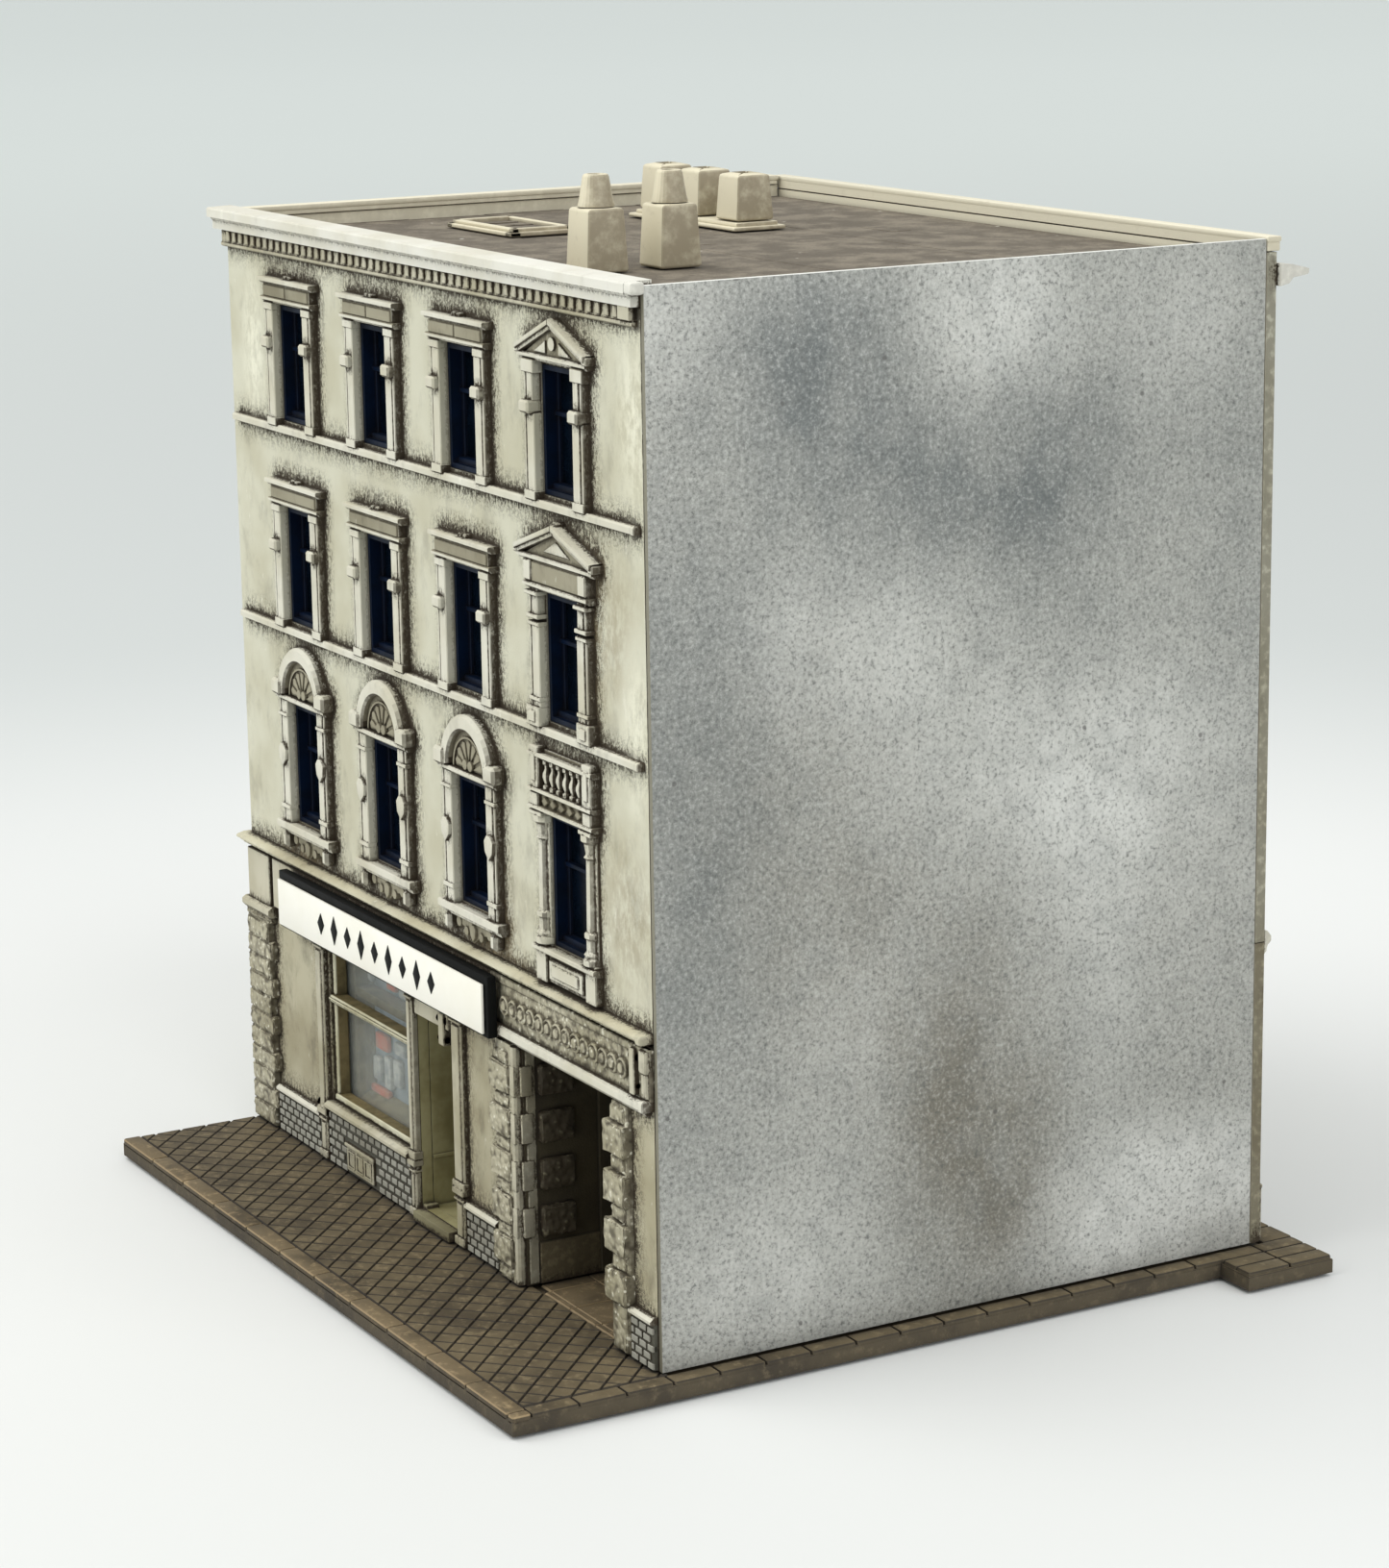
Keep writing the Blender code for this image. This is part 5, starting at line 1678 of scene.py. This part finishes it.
@dataclass
class Sign:
    """The shop sign: a white board on a black backing, with marks that spell nothing."""

    marks: int = 9
    pitch: float = 3.3

    def build(self) -> None:
        """Make the backing, the face and its row of plain upright marks."""
        bench.begin("sign_board")
        bench.block(*bench.box("sign_backing"), 0.12, 2)
        bench.end([SIGN_BLACK], "sign_black", ["sign_backing"])
        low, high = bench.box("sign_face")
        bench.begin("sign_panel")
        bench.block((low.x, low.y + 0.1, low.z), high, 0.08, 2)
        bench.end([SIGN_WHITE], "sign_white", ["sign_face"])
        centre = (low + high) / 2
        first = centre.x - (self.marks - 1) / 2 * self.pitch
        bench.begin("sign_marks")
        for mark in range(self.marks):
            x = first + mark * self.pitch
            tall = 1.55 if mark % 2 else 1.15
            lozenge = [
                (x, centre.z - tall), (x + 0.8, centre.z), (x, centre.z + tall), (x - 0.8, centre.z)]
            bench.outline(lozenge, low.y + 0.15, low.y + 0.03, soft=0.02)
        bench.end([SIGN_BLACK], "sign_black")


@dataclass
class Gateway:
    """The lining of the gateway: plastered walls with a raised foot panel, and a coffered ceiling."""

    ribs: int = 6
    first_rib: float = 8.0
    rib_pitch: float = 10.5
    rib_width: float = 1.6

    def build(self) -> None:
        """Make both walls and the ceiling."""
        for side, inward in (("left", 1), ("right", -1)):
            node = f"gateway_{side}_wall"
            low, high = bench.box(node)
            face = high.x if inward > 0 else low.x
            bench.begin(f"passage_{side}_wall")
            bench.block(low, high, 0.05)
            for rib in range(self.ribs):
                y = self.first_rib + rib * self.rib_pitch
                edges = sorted((face - inward * 0.3, face + inward * 0.35))
                bench.block((edges[0], y, low.z), (edges[1], y + self.rib_width, high.z), 0.12)
            edges = sorted((face - inward * 0.3, face + inward * 0.2))
            bench.block((edges[0], 1.4, low.z), (edges[1], high.y, 4.4), 0.1)
            bench.paint(1, lambda at, normal: abs(normal.x) > 0.5 and at.z < 3.0
                           and edges[0] < at.x + 0.25 * inward < edges[1] + 0.3)
            # The passage walls are painted dark brown as painted shade.
            bench.end([PASSAGE_SHADE, FOOT], "passage_brown", [node])
        low, high = bench.box("gateway_ceiling")
        bench.begin("passage_ceiling")
        bench.block(low, high, 0.05)
        for beam in range(self.ribs):
            y = self.first_rib + beam * self.rib_pitch
            bench.block(
                (low.x + 0.2, y, low.z - 0.6), (high.x - 0.2, y + self.rib_width, low.z + 0.3), 0.12)
        # The passage ceiling is painted dark brown as painted shade.
        bench.end([PASSAGE_SHADE], "passage_brown", ["gateway_ceiling"])


@dataclass
class Roof:
    """Roof felt with its seams, chimneys, pots, the hatch and the copings."""

    soft: float = 0.35

    def felt(self) -> None:
        """Make the roof surface with lapped strips of felt."""
        low, high = bench.box("roof_plate")
        bench.begin("roof_surface")
        bench.block(low, (high.x, high.y, high.z - 0.12), 0.05)
        strip = 9.4
        count = math.ceil((high.y - low.y) / strip)
        for number in range(count):
            start = low.y + number * strip
            end = min(start + strip + 0.25, high.y)
            lap = 0.05 * (number % 2)
            bench.block((low.x, start, high.z - 0.3), (high.x, end, high.z - 0.06 + lap), 0.04)
        for y in (31.0, 54.0):
            bench.block((40.0, y, high.z - 0.1), (46.0, y + 2.4, high.z + 0.06), 0.05)
        bench.end([FELT], "roof_felt", ["roof_plate"])

    def stack(self, node: str, flue: bool) -> None:
        """Make a tapered chimney stack with rounded edges, open if it has no pot."""
        low, high = bench.box(node)
        centre = (low + high) / 2
        bench.begin("chimney_" + node.replace("_chimney_stack", ""))
        bench.block(low, high)
        bench.pick(lambda at, normal: normal.z > 0.9)
        shrink = (0.91, 0.85, 1.0)
        bpy.ops.transform.resize(value=shrink, center_override=bench.at(*centre))
        bpy.ops.mesh.select_all(action="SELECT")
        bpy.ops.mesh.bevel(offset=self.soft * MM, segments=3, affect="EDGES")
        if flue:
            bench.pick(lambda at, normal: normal.z > 0.95)
            bench.inset(0.75)
            bench.extrude(0, 0, -1.6)
            # The flue's floor is painted dark: soot and painted shade.
            bench.paint(1, lambda at, normal: normal.z > 0.9 and at.z < high.z - 1.0)
        finish = [CHIMNEY, SOOT_AND_SHADE] if flue else [CHIMNEY]
        bench.end(finish, "chimney_cream", [node], smooth=40)

    def pot(self, node: str) -> None:
        """Make a tapered chimney pot with its mouth dark with soot and painted shade."""
        foot, top = bench.box(node)
        centre, low, tall = (foot + top) / 2, foot.z, top.z - foot.z
        wide = (top.x - foot.x) / 2
        outer = [
            (0.0, 0.0), (wide, 0.0), (wide, 0.15), (wide * 0.93, 0.5), (wide * 0.72, tall - 0.25),
            (wide * 0.66, tall - 0.05), (wide * 0.6, tall), (wide * 0.45, tall),
            (wide * 0.4, tall - 0.1), (wide * 0.38, tall - 0.5), (0.0, tall - 0.5)]
        bench.begin("pot_" + node.replace("_chimney_pot", ""))
        bench.turn(
            [(centre.x + out, centre.y, low + up) for out, up in outer], centre, Axis.Z, math.tau, 28)
        # The pot's mouth is painted dark: soot and painted shade.
        bench.paint(1, lambda at, normal: math.hypot(at.x - centre.x, at.y - centre.y) < wide * 0.42
                       and at.z > low + 1.0)
        bench.end([CHIMNEY, SOOT_AND_SHADE], "chimney_cream", [node], smooth=45)

    def extras(self) -> None:
        """Make the rear plinth, the hatch and the copings."""
        low, high = bench.box("rear_chimney_plinth")
        bench.begin("chimney_plinth")
        bench.block(low, (high.x, high.y, high.z - 0.4), 0.15, 2)
        bench.block((low.x + 0.6, low.y + 0.6, low.z), (high.x - 0.6, high.y - 0.6, high.z), 0.15, 2)
        bench.end([CHIMNEY], "chimney_cream", ["rear_chimney_plinth"])
        low, high = bench.box("hatch_frame")
        bench.begin("hatch_surround")
        for inset, top in ((0.0, 0.45), (0.45, 0.8)):
            wide, rim = (low.x + inset, high.x - inset), 1.25 - inset
            for start, end in (
                    ((wide[0], low.y + inset), (wide[0] + rim, high.y - inset)),
                    ((wide[1] - rim, low.y + inset), (wide[1], high.y - inset)),
                    ((wide[0], low.y + inset), (wide[1], low.y + 1.25)),
                    ((wide[0], high.y - 1.0), (wide[1], high.y - inset))):
                bench.block((*start, low.z), (*end, low.z + top), 0.1)
        bench.end([CHIMNEY], "chimney_cream", ["hatch_frame"])
        low, high = bench.box("hatch_cover")
        bench.begin("hatch_lid")
        bench.block(low, high, 0.08)
        for bar in range(3):
            x = low.x + 2.4 + bar * 3.4
            bench.block((x, low.y + 0.3, high.z - 0.1), (x + 0.5, high.y - 0.3, high.z + 0.15), 0.06)
        bench.end([FELT], "roof_felt", ["hatch_cover"])
        for node, name in (("left_coping", "left_coping_stone"), ("rear_parapet", "rear_coping_stone")):
            low, high = bench.box(node)
            bench.begin(name)
            bench.block(low, (high.x, high.y, high.z - 0.45), 0.06)
            bench.block(
                (low.x - 0.15, low.y - 0.05, high.z - 0.55), (high.x + 0.15, high.y + 0.1, high.z),
                0.16, 2)
            bench.end([COPING], "coping", [node])

    def build(self) -> None:
        """Make the roof."""
        self.felt()
        for letter in ("a", "b"):
            self.stack("front_chimney_stack_" + letter, False)
            self.pot("front_chimney_pot_" + letter)
        for place in ("left", "middle", "right"):
            self.stack("rear_chimney_stack_" + place, True)
        self.extras()


@dataclass
class RearFront:
    """The rear facade: plain surrounds, window strips, a back door and the gateway's mouth."""

    front: UpperFront
    face: float = 68.2

    def wall(self, name: str, node: str, holes: Sequence[Hole], finish: Finish, slot: str) -> None:
        """Make a flat wall with openings, facing back."""
        low, high = bench.box(node)
        bench.begin(name)
        bench.wall(low, (high.x, self.face, high.z), holes)
        bench.paint(1, lambda at, normal: normal.y < -0.5)
        bench.end([finish, COPING], slot, [node])

    def slab(self, left: float, right: float, foot: float, top: float, stand: float,
             soft: float) -> None:
        """Add a block let into the rear wall, standing proud of its face by so much."""
        bench.block((left, self.face - SUNK, foot), (right, self.face + stand, top), soft)

    def surround(self, hole: Opening) -> Piece:
        """Make a plain rear surround: flat band, sill and hood."""
        bench.begin(f"rear_surround_floor{hole.floor}_bay1")
        for left, right in ((hole.left - 1.0, hole.left), (hole.right, hole.right + 1.0)):
            self.slab(left, right, hole.low - 0.1, hole.high + 0.9, 0.25, 0.08)
        self.slab(hole.left - 1.0, hole.right + 1.0, hole.high, hole.high + 1.0, 0.25, 0.08)
        self.slab(hole.left - 1.3, hole.right + 1.3, hole.low - 0.95, hole.low - 0.1, 0.5, 0.14)
        self.slab(hole.left - 1.5, hole.right + 1.5, hole.high + 0.9, hole.high + 1.55, 0.55, 0.14)
        return bench.end([TRIM], "ivory_plaster")

    def windows(self, node: str, name: str, holes: Sequence[Hole]) -> None:
        """Make a strip of rear windows with sunk dark panes and glazing bars."""
        first, last = bench.box(node)
        bench.begin(name)
        bench.block(first, last, 0.04)
        face = last.y
        for left, right, low, high in holes:
            bench.block(
                (left + 0.1, face - 0.1, low + 0.1), (right - 0.1, face + 0.35, high - 0.1), 0.05)
            bench.pick(lambda at, normal: normal.y > 0.9 and at.y > face + 0.3
                       and left < at.x < right and low < at.z < high)
            bench.inset(0.5)
            bench.extrude(0, -0.5, 0)
            bench.paint(1, lambda at, normal: normal.y > 0.9 and face - 0.3 < at.y < face
                           and left < at.x < right and low < at.z < high)
            middle, bar = (left + right) / 2, low + 0.62 * (high - low)
            bench.block(
                (middle - 0.18, face - 0.3, low + 0.4), (middle + 0.18, face + 0.25, high - 0.4), 0.05)
            bench.block((left + 0.4, face - 0.3, bar - 0.2), (right - 0.4, face + 0.3, bar + 0.2), 0.05)
        bench.end([NAVY, NIGHT], "window_navy", [node])

    def build(self) -> None:
        """Make the rear facade."""
        front = self.front
        upper = [hole.edges for hole in front.openings.values()]
        self.wall("rear_plaster_upper", "rear_wall_upper", upper, PLASTER, "ivory_plaster")
        gate_left = bench.box("gateway_left_wall")[1]
        gate_right = bench.box("gateway_right_wall")[0].x
        tread, nose = bench.box("doorstep")
        door = (tread.x - 0.1, nose.x + 0.1, 1.3, 21.0)
        stores = [(front.openings[1, bay].centre - 4.0, front.openings[1, bay].centre + 4.0, 9.0, 22.0)
                  for bay in (1, 2)]
        self.wall(
            "rear_plaster_ground", "rear_wall_ground", [(gate_left.x, gate_right, -1.0, gate_left.z),
            door, *stores], GRIMY, "ground_plaster")
        for floor in front.floors:
            model = self.surround(front.openings[floor, 1])
            for bay in front.bays[1:]:
                shift = front.openings[floor, bay].centre - front.openings[floor, 1].centre
                bench.copy(
                    model, f"rear_surround_floor{floor}_bay{bay}", (shift, 0, 0), "ivory_plaster")
            row = [hole.edges for hole in front.openings.values() if hole.floor == floor]
            self.windows(f"rear_window_strip_floor{floor}", f"rear_windows_floor{floor}", row)
        self.windows("rear_window_strip_ground", "rear_windows_ground", stores)
        bench.begin("rear_plinth_and_sills")
        for left, right in (
                (0.2, door[0] - 0.6), (door[1] + 0.6, gate_left.x - 0.3), (gate_right + 0.3, 91.5)):
            self.slab(left, right, 0.2, 5.6, 0.4, 0.1)
            self.slab(left, right, 5.5, 6.0, 0.55, 0.14)
        for left, right, low, high in stores:
            self.slab(left - 0.8, right + 0.8, low - 0.9, low - 0.1, 0.5, 0.12)
            self.slab(left - 0.8, right + 0.8, high + 0.05, high + 1.0, 0.45, 0.12)
        bench.end([GRIMY_TRIM], "ground_plaster")
        low, high = bench.box("rear_door")
        bench.begin("rear_panelled_door")
        bench.block(low, (high.x, high.y - 0.2, high.z), 0.04)
        middle = (low.x + high.x) / 2
        for left, right in ((low.x + 0.6, middle - 0.2), (middle + 0.2, high.x - 0.6)):
            for foot, top in ((2.2, 8.4), (9.2, 15.0), (15.8, 20.2)):
                bench.block((left, high.y - 0.4, foot), (right, high.y, top), 0.12)
        bench.end([WOOD], "door_wood", ["rear_door"])


@dataclass
class PartyWalls:
    """The plain party walls: the left one shows, the right one hides behind the cover sheet."""

    def build(self) -> None:
        """Make the left wall with shallow render panels, and dress the hidden right one."""
        low, high = bench.box("left_party_wall")
        bench.begin("left_wall_render")
        bench.block(low, high, 0.05)
        for foot in (31.6, 56.8, 78.1):
            bench.block(
                (low.x - 0.06, low.y + 0.4, foot), (low.x + 0.3, high.y - 0.4, foot + 0.35), 0.04)
        bench.paint(1, lambda at, normal: normal.x > 0.5)
        bench.end([PARTY, COPING], "ivory_plaster", ["left_party_wall"])
        dress("right_party_wall", PLASTER)


@dataclass
class Studio:
    """The pale floor the building stands on, the soft lights and the camera."""

    place: Point = (0.34990, -0.19506, 0.13941)
    turn: Point = (76.8191, 0.8540, 60.5784)
    lens: float = 92.686
    sensor: float = 36.0

    def sweep(self) -> None:
        """Make the flat floor. Its tone is painted light and shade: darker towards the middle distance,
        with painted shade near the camera where the lamps pool, and paler and glowing further out,
        which stands in for a backdrop.
        """
        bpy.ops.object.select_all(action="DESELECT")
        bpy.ops.mesh.primitive_plane_add(size=14.0, location=(0, 0, -0.0004))
        floor = bpy.context.object
        floor.name = "studio_floor"
        graph = Graph("studio_floor")
        reach = graph.node("VectorMath")
        reach.operation = "LENGTH"
        graph.feed(reach.inputs[0], graph.place)
        # Painted shade: the floor darkens from 0.13 to 0.34 m out.
        near = graph.span(reach.outputs["Value"], 0.13, 0.34)
        graph.colour = graph.blend(near, (232, 233, 232), (206, 210, 209))
        # Painted shade: a darker patch towards the camera tones down the lamps' pool on the floor.
        apron = graph.spot(Vector((0.27, -0.17, 0.0)), Vector((0.42, 0.42, 1.0)))
        graph.coat(apron, (204, 206, 204))
        # Painted light: paler further out, and the floor glows there as a backdrop would.
        graph.coat(graph.span(reach.outputs["Value"], 0.3, 1.6), (232, 238, 235))
        graph.feed(graph.shader.inputs["Emission Color"], (240, 246, 243))
        glow = graph.span(reach.outputs["Value"], 0.4, 2.2, 0.0, 0.14)
        graph.feed(graph.shader.inputs["Emission Strength"], glow)
        graph.finish_with(0.6)
        floor.data.materials.append(graph.finish)

    def backdrop(self) -> None:
        """Light the room: pale grey above, brightening down to the floor."""
        world = bpy.data.worlds.new("studio_air")
        bpy.context.scene.world = world
        world.use_nodes = True
        tree = world.node_tree
        place = tree.nodes.new("ShaderNodeTexCoord").outputs["Generated"]
        split = tree.nodes.new("ShaderNodeSeparateXYZ")
        tree.links.new(place, split.inputs[0])
        ramp = tree.nodes.new("ShaderNodeValToRGB")
        stops = ((0.0, tone(240, 240, 242)), (0.5, tone(222, 225, 229)), (0.56, tone(204, 209, 210)),
                 (0.75, tone(196, 201, 200)), (1.0, tone(250, 250, 250)))
        ramp.color_ramp.elements.remove(ramp.color_ramp.elements[0])
        for place_at, colour in stops:
            stop = ramp.color_ramp.elements.new(place_at)
            stop.color = (*colour, 1.0)
        ramp.color_ramp.elements.remove(ramp.color_ramp.elements[-1])
        half = tree.nodes.new("ShaderNodeMath")
        half.operation = "MULTIPLY_ADD"
        half.inputs[1].default_value = 0.5
        half.inputs[2].default_value = 0.5
        tree.links.new(split.outputs["Z"], half.inputs[0])
        tree.links.new(half.outputs[0], ramp.inputs["Fac"])
        tree.links.new(ramp.outputs["Color"], tree.nodes["Background"].inputs["Color"])
        tree.nodes["Background"].inputs["Strength"].default_value = 0.85

    def lamp(self, name: str, place: Point, size: float, power: float, colour: Point) -> None:
        """Hang a square soft light that looks at the building."""
        bpy.ops.object.light_add(type="AREA", location=place)
        lamp = bpy.context.object
        lamp.name = name
        lamp.data.size = size
        lamp.data.energy = power
        lamp.data.color = colour
        aim = Vector((0.0, 0.0, 0.05)) - Vector(place)
        lamp.rotation_euler = aim.to_track_quat("-Z", "Y").to_euler()

    def build(self) -> None:
        """Make the floor, the lights and the camera."""
        self.sweep()
        self.backdrop()
        self.lamp("key_light", (-0.3, -0.8, 0.95), 1.3, 10.8, (1.0, 0.985, 0.95))
        self.lamp("fill_light", (0.95, 0.1, 0.75), 1.1, 8.4, (0.985, 0.985, 0.98))
        bpy.ops.object.camera_add(location=self.place)
        camera = bpy.context.object
        camera.rotation_euler = [math.radians(angle) for angle in self.turn]
        camera.data.lens = self.lens
        camera.data.sensor_width = self.sensor
        camera.data.clip_start = 0.001
        bpy.context.scene.camera = camera
        bpy.context.scene.view_settings.view_transform = "Standard"


def main() -> None:
    """Build every sub-assembly in order."""
    logging.basicConfig(level=logging.INFO, format="%(name)s %(message)s")
    front = UpperFront()
    parts = [Pavement(), front, FrontWindows(front), GroundFront(), Cornices(), CoverSheet(),
             PartyWalls(), Shop(), Sign(), Gateway(), Roof(), RearFront(front), Studio()]
    for part in parts:
        part.build()
        log.info("built %s", type(part).__name__)


if __name__ == "__main__":
    main()
